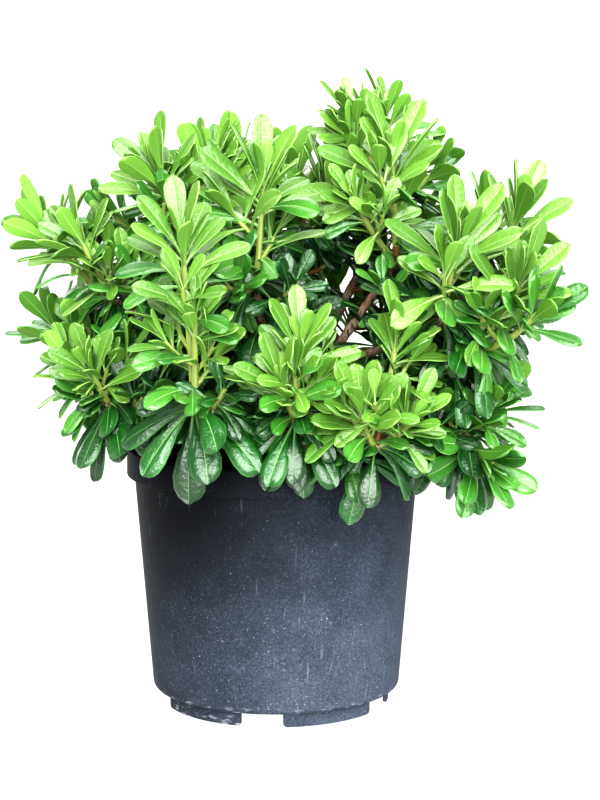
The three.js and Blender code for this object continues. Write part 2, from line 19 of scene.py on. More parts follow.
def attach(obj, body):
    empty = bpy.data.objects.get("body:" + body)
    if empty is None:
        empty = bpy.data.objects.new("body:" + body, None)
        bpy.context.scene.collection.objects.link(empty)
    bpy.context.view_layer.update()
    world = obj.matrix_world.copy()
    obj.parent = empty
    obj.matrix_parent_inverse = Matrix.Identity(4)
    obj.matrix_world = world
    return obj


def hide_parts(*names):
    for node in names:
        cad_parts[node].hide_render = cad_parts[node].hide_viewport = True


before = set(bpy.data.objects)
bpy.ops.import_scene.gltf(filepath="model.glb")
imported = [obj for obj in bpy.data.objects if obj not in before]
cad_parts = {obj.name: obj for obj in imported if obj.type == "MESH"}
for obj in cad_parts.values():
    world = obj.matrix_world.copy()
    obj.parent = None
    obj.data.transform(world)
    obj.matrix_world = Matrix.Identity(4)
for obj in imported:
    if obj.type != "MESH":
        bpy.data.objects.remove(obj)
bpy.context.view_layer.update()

LOG = logging.getLogger("pittosporum")
BODY = "root"
MM = 0.001
UP = Vector((0, 0, 1))
MOSTLY_ALONG = 0.8
GOLDEN_TURN = 137.5

# How near two places are, in metres, when they count as near and as the same
NEAR = 1e-5
SAME = 1e-6

# The seeded stream counts in words of 32 bits, by this step
WORD = 0xFFFFFFFF
STREAM_STEP = 0x6D2B79F5

Pair = tuple[float, float]
Triple = tuple[float, float, float]
Socket = bpy.types.NodeSocket
Thing = bpy.types.Object
Finish = bpy.types.Material


def mix(low: float, high: float, share: float) -> float:
    """Returns the value at a share of the way from low to high."""
    return low + (high - low) * share


def clamp(value: float, low: float = 0.0, high: float = 1.0) -> float:
    """Returns the value, kept between low and high."""
    return max(low, min(high, value))


def colour(code: str) -> tuple[float, float, float, float]:
    """Turns a colour as seen on a screen, six hexadecimal digits, into a linear one with a full alpha."""
    parts = (int(code[i : i + 2], 16) / 255 for i in (0, 2, 4))
    linear = [p / 12.92 if p <= 0.04045 else ((p + 0.055) / 1.055) ** 2.4 for p in parts]
    return linear[0], linear[1], linear[2], 1.0


# Working with objects


def clear_selection() -> None:
    """Leaves object mode with nothing selected."""
    if bpy.context.mode != "OBJECT":
        bpy.ops.object.mode_set(mode="OBJECT")
    bpy.ops.object.select_all(action="DESELECT")


def pick(*things: Thing) -> None:
    """Selects these objects only, and makes the first the active one."""
    clear_selection()
    for thing in things:
        thing.select_set(True)
    bpy.context.view_layer.objects.active = things[0]


def newest(name: str) -> Thing:
    """Names the object that an operator has just added, and its data, and returns it."""
    thing = bpy.context.view_layer.objects.active
    thing.name = name
    thing.data.name = name
    return thing


def settle(thing: Thing) -> None:
    """Puts the object's place, turn and scale into its mesh."""
    pick(thing)
    bpy.ops.object.transform_apply(location=True, rotation=True, scale=True)


def apply_modifiers(thing: Thing) -> None:
    """Applies every modifier of the object, in order."""
    pick(thing)
    for modifier in list(thing.modifiers):
        bpy.ops.object.modifier_apply(modifier=modifier.name)


def draw_up(name: str, sides: int, rings: Iterable[tuple[Triple, float]]) -> Thing:
    """Draws a round shape up from a disc, ring by ring.

    Args:
        name: The name of the shape.
        sides: The number of points of a ring.
        rings: The middle and the radius of each ring, in metres.

    Returns:
        The shape, in edit mode and all selected.
    """
    (place, radius), *others = rings
    clear_selection()
    bpy.ops.mesh.primitive_circle_add(vertices=sides, radius=radius, fill_type="NGON", location=place)
    shape = newest(name)
    settle(shape)
    bpy.ops.object.mode_set(mode="EDIT")
    bpy.ops.mesh.select_all(action="SELECT")
    for next_place, next_radius in others:
        way = [to - back for back, to in zip(place, next_place)]
        bpy.ops.mesh.extrude_region_move(TRANSFORM_OT_translate={"value": way})
        grow = next_radius / radius
        bpy.ops.transform.resize(value=(grow, grow, 1), center_override=next_place)
        place, radius = next_place, next_radius
    bpy.ops.mesh.select_all(action="SELECT")
    bpy.ops.mesh.normals_make_consistent(inside=False)
    return shape


def bevel_edges(
    thing: Thing, wanted: Callable[[bmesh.types.BMEdge], bool], width: float, segments: int
) -> None:
    """Bevels the wanted edges of the object that is in edit mode, and leaves that mode."""
    bpy.ops.mesh.select_mode(type="EDGE")
    bpy.ops.mesh.select_all(action="DESELECT")
    for edge in bmesh.from_edit_mesh(thing.data).edges:
        edge.select_set(wanted(edge))
    bmesh.update_edit_mesh(thing.data)
    bpy.ops.mesh.bevel(offset=width, segments=segments, affect="EDGES")
    bpy.ops.object.mode_set(mode="OBJECT")


def smooth(crease: float) -> None:
    """Shades the active object smooth, but for edges sharper than so many degrees."""
    bpy.ops.object.shade_smooth_by_angle(angle=math.radians(crease))


def join(things: list[Thing], name: str) -> Thing:
    """Joins objects into one of this name, and returns it. The first gives its slots."""
    pick(*things)
    bpy.ops.object.join()
    return newest(name)


def dress(thing: Thing, finish: Finish) -> None:
    """Gives the object this finish and no other."""
    thing.data.materials.clear()
    thing.data.materials.append(finish)


def put_on(thing: Thing, nodes: Iterable[str]) -> None:
    """Makes the piece ride on the plant, and stand for the nodes that it replaces.

    Args:
        thing: The piece.
        nodes: The names of the nodes that it replaces.
    """
    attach(thing, BODY)
    names = list(nodes)
    if names:
        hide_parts(*names)
    faces = sum(len(face.vertices) - 2 for face in thing.data.polygons)
    LOG.info("%s: %d triangles", thing.name, faces)


# Finishes


@dataclass(frozen=True)
class Pattern:
    """A noise, so many to the metre, that gives 0 where it is at low and top where it is at high."""

    scale: float
    detail: float
    low: float
    high: float
    top: float = 1


class NodeSheet:
    """A material's nodes, with short ways to add and link them."""

    def __init__(self, name: str) -> None:
        """Starts a material with a plain surface."""
        self.material = bpy.data.materials.new(name)
        self.material.use_nodes = True
        self.tree = self.material.node_tree
        self.surface = self.tree.nodes["Principled BSDF"]

    def set(self, **values: float | tuple) -> None:
        """Sets sockets of the surface, each named with underscores for its blanks."""
        for name, value in values.items():
            socket = name.replace("_", " ").title().replace("Ior", "IOR")
            self.surface.inputs[socket].default_value = value

    def feed(self, socket: str, source: Socket) -> None:
        """Links a source to a socket of the surface."""
        self.tree.links.new(source, self.surface.inputs[socket])

    def node(self, kind: str, inputs: dict, **settings: object) -> bpy.types.Node:
        """Adds a node.

        Args:
            kind: The node's type, without its common beginning.
            inputs: What goes into its sockets, by name or number: a value or another node's output.
            settings: The node's own settings.

        Returns:
            The node.
        """
        node = self.tree.nodes.new("ShaderNode" + kind)
        for name, value in settings.items():
            setattr(node, name, value)
        for name, value in inputs.items():
            if isinstance(value, Socket):
                self.tree.links.new(value, node.inputs[name])
            else:
                node.inputs[name].default_value = value
        return node

    def place(self) -> Socket:
        """Returns the place on the object, in metres."""
        return self.node("TexCoord", {}).outputs["Object"]

    def scaled(self, place: Socket, scale: Triple, turn: Triple = (0, 0, 0)) -> Socket:
        """Returns the place, turned and stretched for a pattern."""
        return self.node("Mapping", {"Vector": place, "Rotation": turn, "Scale": scale}).outputs["Vector"]

    def noise(self, place: Socket, scale: float, detail: float) -> Socket:
        """Returns a noise from 0 to 1 of this scale per metre."""
        return self.node("TexNoise", {"Vector": place, "Scale": scale, "Detail": detail}).outputs["Fac"]

    def ramp(self, value: Socket, low: float, high: float, top: float = 1) -> Socket:
        """Returns 0 where the value is at low, and top where it is at high."""
        inputs = {"Value": value, "From Min": low, "From Max": high, "To Min": 0.0, "To Max": top}
        return self.node("MapRange", inputs, clamp=True, interpolation_type="SMOOTHSTEP").outputs["Result"]

    def pattern(self, place: Socket, form: Pattern) -> Socket:
        """Returns the pattern at the place."""
        return self.ramp(self.noise(place, form.scale, form.detail), form.low, form.high, form.top)

    def sum(self, operation: str, *values: Socket | float) -> Socket:
        """Returns the outcome of an operation on one or two numbers."""
        return self.node("Math", dict(enumerate(values)), operation=operation).outputs["Value"]

    def times(self, one: Socket, other: Socket | float) -> Socket:
        """Returns the product of two numbers."""
        return self.sum("MULTIPLY", one, other)

    def plus(self, one: Socket, other: Socket | float) -> Socket:
        """Returns the sum of two numbers."""
        return self.sum("ADD", one, other)

    def greatest(self, values: list[Socket]) -> Socket:
        """Returns the greatest of several numbers."""
        total, *others = values
        for value in others:
            total = self.sum("MAXIMUM", total, value)
        return total

    def blend(self, share: Socket, low: Socket | tuple, high: Socket | tuple) -> Socket:
        """Returns a colour at a share of the way from low to high."""
        return self.node("Mix", {0: share, 6: low, 7: high}, data_type="RGBA").outputs[2]

    def relief(self, height: Socket, depth: float, strength: float = 1) -> None:
        """Gives the surface, and the gloss that lies on it, a relief of this depth in metres."""
        inputs = {"Height": height, "Distance": depth, "Strength": strength}
        normal = self.node("Bump", inputs).outputs["Normal"]
        self.feed("Normal", normal)
        self.feed("Coat Normal", normal)


class PotSheet(NodeSheet):
    """The nodes of the pot's finish, with the places on the pot that its parts go by."""

    def __init__(self, name: str, dusty_heights: Pair, painted_light_side: Pair) -> None:
        """Starts the material, with the heights between which it turns dusty, and the sides between which it
        turns paler with painted light that falls from the right.
        """
        super().__init__(name)
        self.spot = self.place()
        axes = self.node("SeparateXYZ", {"Vector": self.spot})
        self.across = axes.outputs["X"]
        self.height = axes.outputs["Z"]
        self.low = self.ramp(self.height, *dusty_heights)
        # Paler towards the right: painted light, as if the pot were lit from that side.
        self.right = self.ramp(self.across, *painted_light_side)


@dataclass(frozen=True)
class Streaks:
    """Scratches of one direction: how the place is stretched and turned, and their patches to the metre."""

    stretch: Triple
    turn: Triple
    patches: float


@dataclass(frozen=True)
class Specks:
    """Specks of one size: cells to the metre, radius in cells, and from what chance a cell has one."""

    scale: float
    radius: float
    chance: float


@dataclass(frozen=True)
class PotPlastic:
    """Charcoal plastic that has stood outdoors: dusty low down, speckled, scratched and scuffed, and painted
    paler towards its right side, as if lit from there.
    """

    dark: str = "15171a"
    dust_and_lit_grey: str = "4b535f"
    dust: str = "68727f"
    grit: str = "c3c7cd"
    rust: str = "b9805a"
    gloss: float = 0.1
    roughness: float = 0.5
    haze_roughness: float = 0.22
    dusty_heights: Pair = (0.2, 0.03)
    # The pale right side is painted light; the dust low down is real.
    painted_light_side: Pair = (-0.1, 0.12)
    haze_low: float = 0.54
    painted_light_right: float = 0.55
    clouds: Pattern = Pattern(30, 8, 0.32, 0.68, 0.26)
    cloud_base: float = 0.7
    grain: Pattern = Pattern(520, 4, 0.35, 0.66, 0.5)
    grain_base: float = 0.75
    mottle: Pattern = Pattern(420, 5, 0.53, 0.72, 0.5)
    skin_scale: float = 900
    skin_detail: float = 3
    skin_depth: float = 0.00012
    skin_strength: float = 0.6
    grit_rise: float = 1.5
    scratch_fall: float = 0.8
    streaks: tuple[Streaks, ...] = (
        Streaks((330, 330, 8), (0.04, 0.03, 0), 9),
        Streaks((300, 300, 14), (0.35, 0.5, 0), 13),
    )
    streak_lines: Pattern = Pattern(1, 2, 0.655, 0.71)
    streak_patches: Pair = (0.52, 0.66)
    hairlines: tuple[Pair, ...] = ((31, 45), (52, 60))
    hairline_detail: float = 3
    hairline_widths: Pair = (0.0045, 0.0012)
    hairline_patches: Pair = (0.6, 0.66)
    patch_detail: float = 2
    scratch_low: float = 0.4
    scratch_base: float = 0.3
    specks: tuple[Specks, ...] = (Specks(330, 0.16, 1.02), Specks(190, 0.13, 1.14), Specks(620, 0.2, 1.0))
    speck_core: float = 0.4
    speck_low: float = 0.3
    # Specks grow likelier towards the right, along with the painted light there.
    speck_lit_side: float = 0.12
    speck_strength: float = 0.62
    rust_share: Pair = (0.55, 0.8)
    ragged_stretch: Triple = (90, 90, 300)
    ragged_detail: float = 7
    ragged_edge: Triple = (0.52, 0.7, 0.4)
    ragged_foot: Triple = (0.52, 0.66, 0.4)
    edge_from: Pair = (0.011, 0.014)
    edge_to: Pair = (0.022, 0.016)
    foot_to: Pair = (0.012, 0.004)
    foot_side: Pair = (0.0, -0.03)

    def material(self) -> Finish:
        """Returns the finish as a material."""
        sheet = PotSheet("pot_plastic", self.dusty_heights, self.painted_light_side)
        sheet.set(specular_ior_level=self.gloss)
        # Dust low down, plus painted light that makes the right side paler, in one grey.
        dust_and_painted_light = sheet.plus(sheet.times(sheet.low, self.haze_low), sheet.times(sheet.right, self.painted_light_right))
        for pattern, base in ((self.clouds, self.cloud_base), (self.grain, self.grain_base)):
            dust_and_painted_light = sheet.times(dust_and_painted_light, sheet.plus(sheet.pattern(sheet.spot, pattern), base))
        mottle = sheet.times(sheet.pattern(sheet.spot, self.mottle), dust_and_painted_light)
        scratches = self.scratches(sheet)
        grit, shade = self.grit_and_shade(sheet)
        shown = colour(self.dark)
        for share, over in (
            (dust_and_painted_light, colour(self.dust_and_lit_grey)),
            (mottle, colour(self.dust)),
            (scratches, colour(self.dust)),
            (grit, sheet.blend(shade, colour(self.grit), colour(self.rust))),
            (self.scuffs(sheet), colour(self.grit)),
        ):
            shown = sheet.blend(share, shown, over)
        sheet.feed("Base Color", shown)
        sheet.feed("Roughness", sheet.plus(sheet.times(dust_and_painted_light, self.haze_roughness), self.roughness))
        skin = sheet.noise(sheet.spot, self.skin_scale, self.skin_detail)
        skin = sheet.plus(skin, sheet.times(grit, self.grit_rise))
        skin = sheet.sum("SUBTRACT", skin, sheet.times(scratches, self.scratch_fall))
        sheet.relief(skin, self.skin_depth, self.skin_strength)
        return sheet.material

    def scratches(self, sheet: PotSheet) -> Socket:
        """Returns where fine scratches run: upright streaks, and curling hairlines."""
        kinds = []
        for streaks in self.streaks:
            lines = sheet.pattern(sheet.scaled(sheet.spot, streaks.stretch, streaks.turn), self.streak_lines)
            patches = Pattern(streaks.patches, self.patch_detail, *self.streak_patches)
            kinds.append(sheet.times(lines, sheet.pattern(sheet.spot, patches)))
        for scale, patch_scale in self.hairlines:
            curl = sheet.sum("SUBTRACT", sheet.noise(sheet.spot, scale, self.hairline_detail), 0.5)
            lines = sheet.ramp(sheet.sum("ABSOLUTE", curl), *self.hairline_widths)
            patches = Pattern(patch_scale, self.patch_detail, *self.hairline_patches)
            kinds.append(sheet.times(lines, sheet.pattern(sheet.spot, patches)))
        strength = sheet.plus(sheet.times(sheet.low, self.scratch_low), self.scratch_base)
        return sheet.times(sheet.greatest(kinds), strength)

    def grit_and_shade(self, sheet: PotSheet) -> tuple[Socket, Socket]:
        """Returns where specks stick to the pot, likelier low down and on the right where light is painted,
        and the share of rust in their colour.
        """
        kinds, greens = [], []
        low = sheet.times(sheet.low, self.speck_low)
        # More specks low down, and more on the right with the painted light.
        likely = sheet.plus(low, sheet.times(sheet.right, self.speck_lit_side))
        for specks in self.specks:
            cells = sheet.node("TexVoronoi", {"Vector": sheet.spot, "Scale": specks.scale})
            parts = sheet.node("SeparateColor", {"Color": cells.outputs["Color"]})
            near = sheet.ramp(cells.outputs["Distance"], specks.radius, specks.radius * self.speck_core)
            chosen = sheet.plus(parts.outputs["Red"], likely)
            kinds.append(sheet.times(near, sheet.sum("GREATER_THAN", chosen, specks.chance)))
            greens.append(parts.outputs["Green"])
        rusty = sheet.ramp(greens[0], *self.rust_share)
        return sheet.times(sheet.greatest(kinds), self.speck_strength), rusty

    def scuffs(self, sheet: PotSheet) -> Socket:
        """Returns where the lower edge and the feet are scuffed white."""
        ragged = sheet.noise(sheet.scaled(sheet.spot, self.ragged_stretch), 1, self.ragged_detail)
        edge = sheet.times(sheet.ramp(sheet.height, *self.edge_from), sheet.ramp(sheet.height, *self.edge_to))
        foot = sheet.times(sheet.ramp(sheet.height, *self.foot_to), sheet.ramp(sheet.across, *self.foot_side))
        edge = sheet.times(edge, sheet.ramp(ragged, *self.ragged_edge))
        return sheet.greatest([edge, sheet.times(foot, sheet.ramp(ragged, *self.ragged_foot))])


@dataclass(frozen=True)
class CrumbFinish:
    """Moist brown potting mix with paler fibres."""

    dark: str = "231710"
    pale: str = "6b4f38"
    roughness: float = 0.92
    grain_scale: float = 260
    grain_detail: float = 8
    fibres: Pair = (0.4, 0.72)
    depth: float = 0.0015

    def material(self) -> Finish:
        """Returns the finish as a material."""
        sheet = NodeSheet("potting_mix_crumbs")
        sheet.set(roughness=self.roughness)
        grain = sheet.noise(sheet.place(), self.grain_scale, self.grain_detail)
        share = sheet.ramp(grain, *self.fibres)
        sheet.feed("Base Color", sheet.blend(share, colour(self.dark), colour(self.pale)))
        sheet.relief(grain, self.depth)
        return sheet.material


@dataclass(frozen=True)
class BarkFinish:
    """Brown bark with grey patches and fine cracks that run along the limb."""

    dark: str = "5a483a"
    brown: str = "907058"
    grey: str = "b0a08c"
    roughness: float = 0.85
    patches: Pattern = Pattern(60, 5, 0.35, 0.65)
    crack_stretch: Triple = (420, 420, 120)
    crack_detail: float = 6
    cracks: Pair = (0.5, 0.36)
    depth: float = 0.0009

    def material(self) -> Finish:
        """Returns the finish as a material."""
        sheet = NodeSheet("shrub_bark")
        sheet.set(roughness=self.roughness)
        place = sheet.place()
        base = sheet.blend(sheet.pattern(place, self.patches), colour(self.brown), colour(self.grey))
        cracks = sheet.noise(sheet.scaled(place, self.crack_stretch), 1, self.crack_detail)
        sheet.feed("Base Color", sheet.blend(sheet.ramp(cracks, *self.cracks), base, colour(self.dark)))
        sheet.relief(cracks, self.depth)
        return sheet.material


@dataclass(frozen=True)
class PlainColour:
    """A plain colour, with or without a waxy coat, for a side or rib of a leaf or for a stem."""

    name: str
    shade: str
    roughness: float
    coat: float = 0.0
    leathery: float = 0.0
    gloss: float = 0.5
    coat_roughness: float = 0.3
    grain_scale: float = 320
    grain_detail: float = 4
    grain_depth: float = 0.001

    def material(self) -> Finish:
        """Returns the finish as a material."""
        sheet = NodeSheet(self.name)
        sheet.set(base_color=colour(self.shade), roughness=self.roughness, specular_ior_level=self.gloss)
        sheet.set(coat_weight=self.coat, coat_roughness=self.coat_roughness)
        if self.leathery:
            grain = sheet.noise(sheet.place(), self.grain_scale, self.grain_detail)
            sheet.relief(grain, self.grain_depth, self.leathery)
        return sheet.material


TWIG_FINISHES = (PlainColour("twig_brown", "7e582c", 0.65), PlainColour("twig_green", "90a056", 0.5))


class LeafSide(Enum):
    """The parts of a leaf that have a colour of their own."""

    TOP = 0
    UNDER = 1
    RIB = 2
    UNDER_RIB = 3
    MARGIN = 4


class LeafAge(Enum):
    """How old a leaf is, which gives its colours and how far it folds."""

    BUD = "bud"
    YOUNG = "young"
    GROWN = "grown"
    OLD = "old"


@dataclass(frozen=True)
class LeafTint:
    """The colours of a leaf: its upper side, its underside, its rib on both, and its thin pale margin."""

    top: str
    under: str
    rib: str
    under_rib: str
    margin: str


# The sides of a leaf under its waxy top, with their roughness and gloss
DULLER_SIDES = (("under", 0.6, 0.15), ("rib", 0.5, 0.5), ("under_rib", 0.55, 0.5), ("margin", 0.45, 0.5))


@dataclass(frozen=True)
class LeafLook:
    """What leaves of one age are like: their gloss, shape and tints.

    The width is a share of the length. The fold and the drop of the margin are shares of the width.
    """

    roughness: float
    coat: float
    leathery: float
    width: float
    fold: float
    margin_drop: float
    tints: tuple[LeafTint, ...]

    def finishes(self, name: str) -> list[PlainColour]:
        """Returns the five finishes of each tint in turn, in the order of the sides."""
        finishes = []
        for number, tint in enumerate(self.tints):
            leaf = f"{name}_{number}"
            finishes.append(PlainColour(f"{leaf}_top", tint.top, self.roughness, self.coat, self.leathery))
            for side, roughness, gloss in DULLER_SIDES:
                finishes.append(PlainColour(f"{leaf}_{side}", getattr(tint, side), roughness, gloss=gloss))
        return finishes


LEAF_LOOKS = {
    LeafAge.BUD: LeafLook(
        roughness=0.38,
        coat=0.8,
        leathery=0.6,
        width=0.3,
        fold=0.4,
        margin_drop=0.02,
        tints=(
            LeafTint("749a40", "82aa58", "a4ba84", "aebe86", "92b06e"),
            LeafTint("7ca248", "8cb260", "aac08a", "b4c68e", "9cb878"),
        ),
    ),
    LeafAge.YOUNG: LeafLook(
        roughness=0.38,
        coat=0.75,
        leathery=0.8,
        width=0.3,
        fold=0.2,
        margin_drop=0.05,
        tints=(
            LeafTint("5e8933", "6f9c44", "a2bc82", "9ab476", "82aa5c"),
            LeafTint("54802f", "64903c", "98b276", "90aa6e", "78a052"),
            LeafTint("69943a", "79a84a", "acc486", "a4bc80", "8cb062"),
        ),
    ),
    LeafAge.GROWN: LeafLook(
        roughness=0.33,
        coat=0.95,
        leathery=0.8,
        width=0.35,
        fold=0.12,
        margin_drop=0.07,
        tints=(
            LeafTint("3d7828", "5e8c36", "88ae6c", "84a662", "60964a"),
            LeafTint("4a8630", "68943e", "92b674", "8eb06c", "6ca052"),
            LeafTint("326b24", "507e30", "7ea05e", "7a9c5a", "568a42"),
        ),
    ),
    LeafAge.OLD: LeafLook(
        roughness=0.34,
        coat=0.95,
        leathery=1.0,
        width=0.35,
        fold=0.02,
        margin_drop=0.1,
        tints=(
            LeafTint("17491a", "3c6628", "649052", "68885a", "3a7236"),
            LeafTint("1e581f", "466e30", "709e5c", "729462", "447e40"),
            LeafTint("123c14", "345624", "5a864a", "5e7e50", "326430"),
        ),
    ),
}


# How the shrub grows


class RandomStream:
    """A seeded stream of numbers from 0 to 1."""

    def __init__(self, seed: int) -> None:
        """Starts the stream."""
        self.state = seed & WORD

    def next(self) -> float:
        """Returns the next number."""
        self.state = (self.state + STREAM_STEP) & WORD
        mixed = ((self.state ^ (self.state >> 15)) * (1 | self.state)) & WORD
        mixed = ((mixed + ((mixed ^ (mixed >> 7)) * (61 | mixed))) ^ mixed) & WORD
        return (mixed ^ (mixed >> 14)) / (WORD + 1)

    def jitter(self, spread: float) -> float:
        """Returns a number between minus the spread and the spread."""
        return spread * (2 * self.next() - 1)

    def between(self, limits: Pair) -> float:
        """Returns a number between two limits."""
        return mix(limits[0], limits[1], self.next())

    def choose(self, count: int) -> int:
        """Returns a whole number from 0 to one less than the count."""
        return min(count - 1, int(self.next() * count))


def heading(turn: float, lift: float) -> Vector:
    """Returns the direction at so many degrees round the pot, from the front to +X, and above level."""
    level = math.cos(math.radians(lift))
    side = math.radians(turn)
    return Vector((math.sin(side) * level, -math.cos(side) * level, math.sin(math.radians(lift))))


def square_to(axis: Vector) -> tuple[Vector, Vector]:
    """Gives two directions square to an axis and one long, always chosen the same way."""
    helper = Vector((1, 0, 0)) if abs(axis.x) < MOSTLY_ALONG else Vector((0, 1, 0))
    side = (helper - axis * helper.dot(axis)).normalized()
    return side, axis.cross(side)


@dataclass(frozen=True)
class Bend:
    """A smooth curve of three points."""

    start: Vector
    middle: Vector
    end: Vector

    def point(self, share: float) -> Vector:
        """Returns the point at a share of the way."""
        rest = 1 - share
        return self.start * rest**2 + self.middle * (2 * share * rest) + self.end * share**2

    def direction(self, share: float) -> Vector:
        """Returns the direction at a share of the way, one long."""
        pull = (self.middle - self.start) * (1 - share) + (self.end - self.middle) * share
        return pull.normalized()

    def place(self, share: float) -> tuple[Vector, Vector]:
        """Returns the point and the direction at a share of the way."""
        return self.point(share), self.direction(share)


@dataclass(frozen=True)
class Shoot:
    """A shoot of a mass: turn and lift of its way, its length, and the size of its leaves."""

    turn: float
    lift: float
    length: float
    size: float


@dataclass(frozen=True)
class Plan:
    """A bough's plan: the turn, reach and height of its tip, its old leaves, its shoots and its root."""

    name: str
    turn: float
    reach: float
    height: float
    skirt: float
    numbers: tuple[tuple[float, float, float, float], ...]
    root: str = "trunk"
    at: float = 0.0

    def shoots(self) -> list[Shoot]:
        """Returns the shoots."""
        return [Shoot(*row) for row in self.numbers]


SHOWN_BOUGHS = (
    Plan("front_left", -24, 164, 300, 1.12, ((-90, 86, 138, 1), (5, 79, 82, 0.65))),
    Plan("left", -97, 146, 371, 0.9, ((-66, 60, 66, 0.95), (-124, 38, 102, 1))),
    Plan("middle", -11, 82, 396, 0.9, ((90, 86, 88, 1.15), (-43, 5, 41, 0.7))),
    Plan("crest", 65, 118, 415, 1, ((-90, 87, 89, 1.15), (-52, 50, 75, 0.7))),
    Plan("far_right", 56, 202, 341, 1, ((64, 53, 79, 0.95), (54, 30, 80, 0.85))),
    Plan("front_right", 28, 181, 266, 0.9, ((-38, 58, 36, 1), (80, 42, 38, 0.8), (136, 73, 96, 0.85))),
    Plan("top_left", -108, 95, 434, 0.9, ((-54, 73, 57, 1), (141, 53, 90, 0.8), (-109, 11, 63, 0.8))),
    Plan("top_back", 122, 133, 465, 0.8, ((-78, 58, 90, 0.75), (-151, 73, 83, 0.75), (73, 34, 38, 0.75))),
    Plan("high_right", 88, 198, 356, 0.9, ((48, 77, 96, 1.05), (160, 28, 94, 0.9), (-176, 57, 106, 0.9))),
    Plan("left_low", -97, 150, 299, 0.8, ((-134, 28, 94, 0.9), (-8, -4, 70, 0.85)), "left", 0.45),
    Plan("right", 52, 181, 372, 0.85, ((70, 77, 64, 1.15),), "crest", 0.42),
    Plan(
        *("front", 7, 161, 289, 0.9, ((90, 86, 63, 0.9), (-39, 60, 38, 0.85), (125, 49, 79, 0.6))),
        root="front_right",
        at=0.4,
    ),
    Plan("low_right", 61, 188, 267, 1, ((32, -36, 28, 1), (138, 27, 62, 0.75)), "far_right", 0.5),
    Plan("low_left", -66, 158, 290, 0.95, ((-120, 38, 52, 0.8), (-30, 50, 48, 0.8)), "left", 0.3),
)


@dataclass(frozen=True)
class Tier:
    """A tier of boughs on the far side."""

    name: str
    count: int
    first: float
    last: float
    reach: float
    height: float


HIDDEN_TIERS = (
    Tier("back_low", 4, 112, 252, 143, 290),
    Tier("back_mid", 3, 138, 228, 126, 366),
    Tier("back_high", 2, 155, 215, 72, 428),
)


@dataclass
class Bough:
    """A bough in its place."""

    plan: Plan
    index: int
    path: Bend
    foot_radius: float

    def tip_axis(self) -> Vector:
        """Returns the way that its tip points."""
        return self.path.direction(1)


@dataclass
class Framework:
    """The trunk and the boughs, worked out by the same rule as the solids, in millimetres."""

    seed: int = 41
    foot: Vector = field(default_factory=lambda: Vector((0, 0, 223.3)))
    lean: Vector = field(default_factory=lambda: Vector((3, -2, 46)))
    foot_radius: float = 5.6
    side_foot_radius: float = 4.6
    tip_radius: float = 3.6
    sag: float = 0.12
    starts: Pair = (0.35, 0.72)
    hidden_turn_step: float = 84
    hidden_lift: Pair = (42, 74)
    hidden_length: Pair = (58, 78)
    hidden_skirt: float = 1.0
    boughs: list[Bough] = field(default_factory=list)

    def trunk_point(self, share: float) -> Vector:
        """Returns the middle of the trunk at a share of its height."""
        return self.foot + self.lean * share

    def hidden_plans(self) -> list[Plan]:
        """Returns the boughs of the far side, with their shoots drawn."""
        random = RandomStream(self.seed)
        plans = []
        for tier in HIDDEN_TIERS:
            for i in range(tier.count):
                turn = mix(tier.first, tier.last, i / (tier.count - 1))
                shoots = []
                for side in (-0.5, 0.5):
                    lift = random.between(self.hidden_lift)
                    length = random.between(self.hidden_length)
                    shoots.append((turn + self.hidden_turn_step * side, lift, length, 1.0))
                name = f"{tier.name}_{i + 1}"
                plans.append(Plan(name, turn, tier.reach, tier.height, self.hidden_skirt, tuple(shoots)))
        return plans

    def grow(self) -> None:
        """Works out every bough."""
        paths: dict[str, Bend] = {}
        top = self.trunk_point(1)
        for index, plan in enumerate([*SHOWN_BOUGHS, *self.hidden_plans()]):
            steepness = clamp((plan.height - top.z) / plan.reach)
            tip = heading(plan.turn, 0) * plan.reach + UP * plan.height
            if plan.root == "trunk":
                start = self.trunk_point(mix(*self.starts, steepness))
                radius = self.foot_radius
            else:
                start = paths[plan.root].point(plan.at)
                radius = self.side_foot_radius
            middle = start.lerp(tip, 0.5)
            middle.z -= (tip - start).length * self.sag * math.cos(math.radians(90 * steepness))
            paths[plan.name] = Bend(start, middle, tip)
            self.boughs.append(Bough(plan, index, paths[plan.name], radius))


@dataclass(frozen=True)
class Leaf:
    """A leaf in its place: where it starts, the way it starts and ends, and the way across it."""

    root: Vector
    start: Vector
    end: Vector
    across: Vector
    length: float
    width: float
    age: LeafAge
    tint: int

    def point(self, share: float, side: float = 0.0) -> Vector:
        """Returns the point at a share of its length, so far to one side of its middle."""
        half = self.length / 2
        middle = self.root + self.start * (half * (2 * share - share**2)) + self.end * (half * share**2)
        return middle + self.across * side

    def points(self, shares: Iterable[float], half: float) -> list[Vector]:
        """Returns the points at these shares, in its middle and so far to each side."""
        return [self.point(share, side) for share in shares for side in (-half, 0, half)]


@dataclass(frozen=True)
class Twig:
    """A twig: its way, its radius at its foot and its tip, and from what share of the way it is green."""

    path: Bend
    foot_radius: float
    tip_radius: float
    green_from: float


@dataclass(frozen=True)
class Form:
    """How leaves of one kind stand: tilt and arch in degrees, and their size against the usual one."""

    tilt: float
    arch: float
    size: float
    recurve: float
    droop: float


@dataclass(frozen=True)
class Whorl:
    """A spiral of leaves: their number, and their tilt, arch and size from the first to the last."""

    count: int
    tilts: Pair
    arches: Pair
    sizes: Pair
    droop: float
    recurve: float = 0.8

    def form(self, inner: float) -> Form:
        """Returns the form at a share of the way from the first leaf to the last."""
        tilt, arch, size = (mix(*pair, inner) for pair in (self.tilts, self.arches, self.sizes))
        return Form(tilt, arch, size, self.recurve, self.droop)


@dataclass(frozen=True)
class Spray:
    """A leafy twig: its radii and from where it is green, from where it has leaves, and the leaves."""

    foot_radius: float
    tip_radius: float
    green_from: float
    leaves_from: float
    leaves: Whorl


# The main leaves, as on the solids
MAIN_ROSETTE = Whorl(7, (56, 13), (22, 8), (1, 0.9), 0.2, recurve=1)
MAIN_STEM = Form(76, 40, 0.9, 0.8, 0.5)
MAIN_SKIRT = Form(98, 52, 1, 0.5, 0.9)

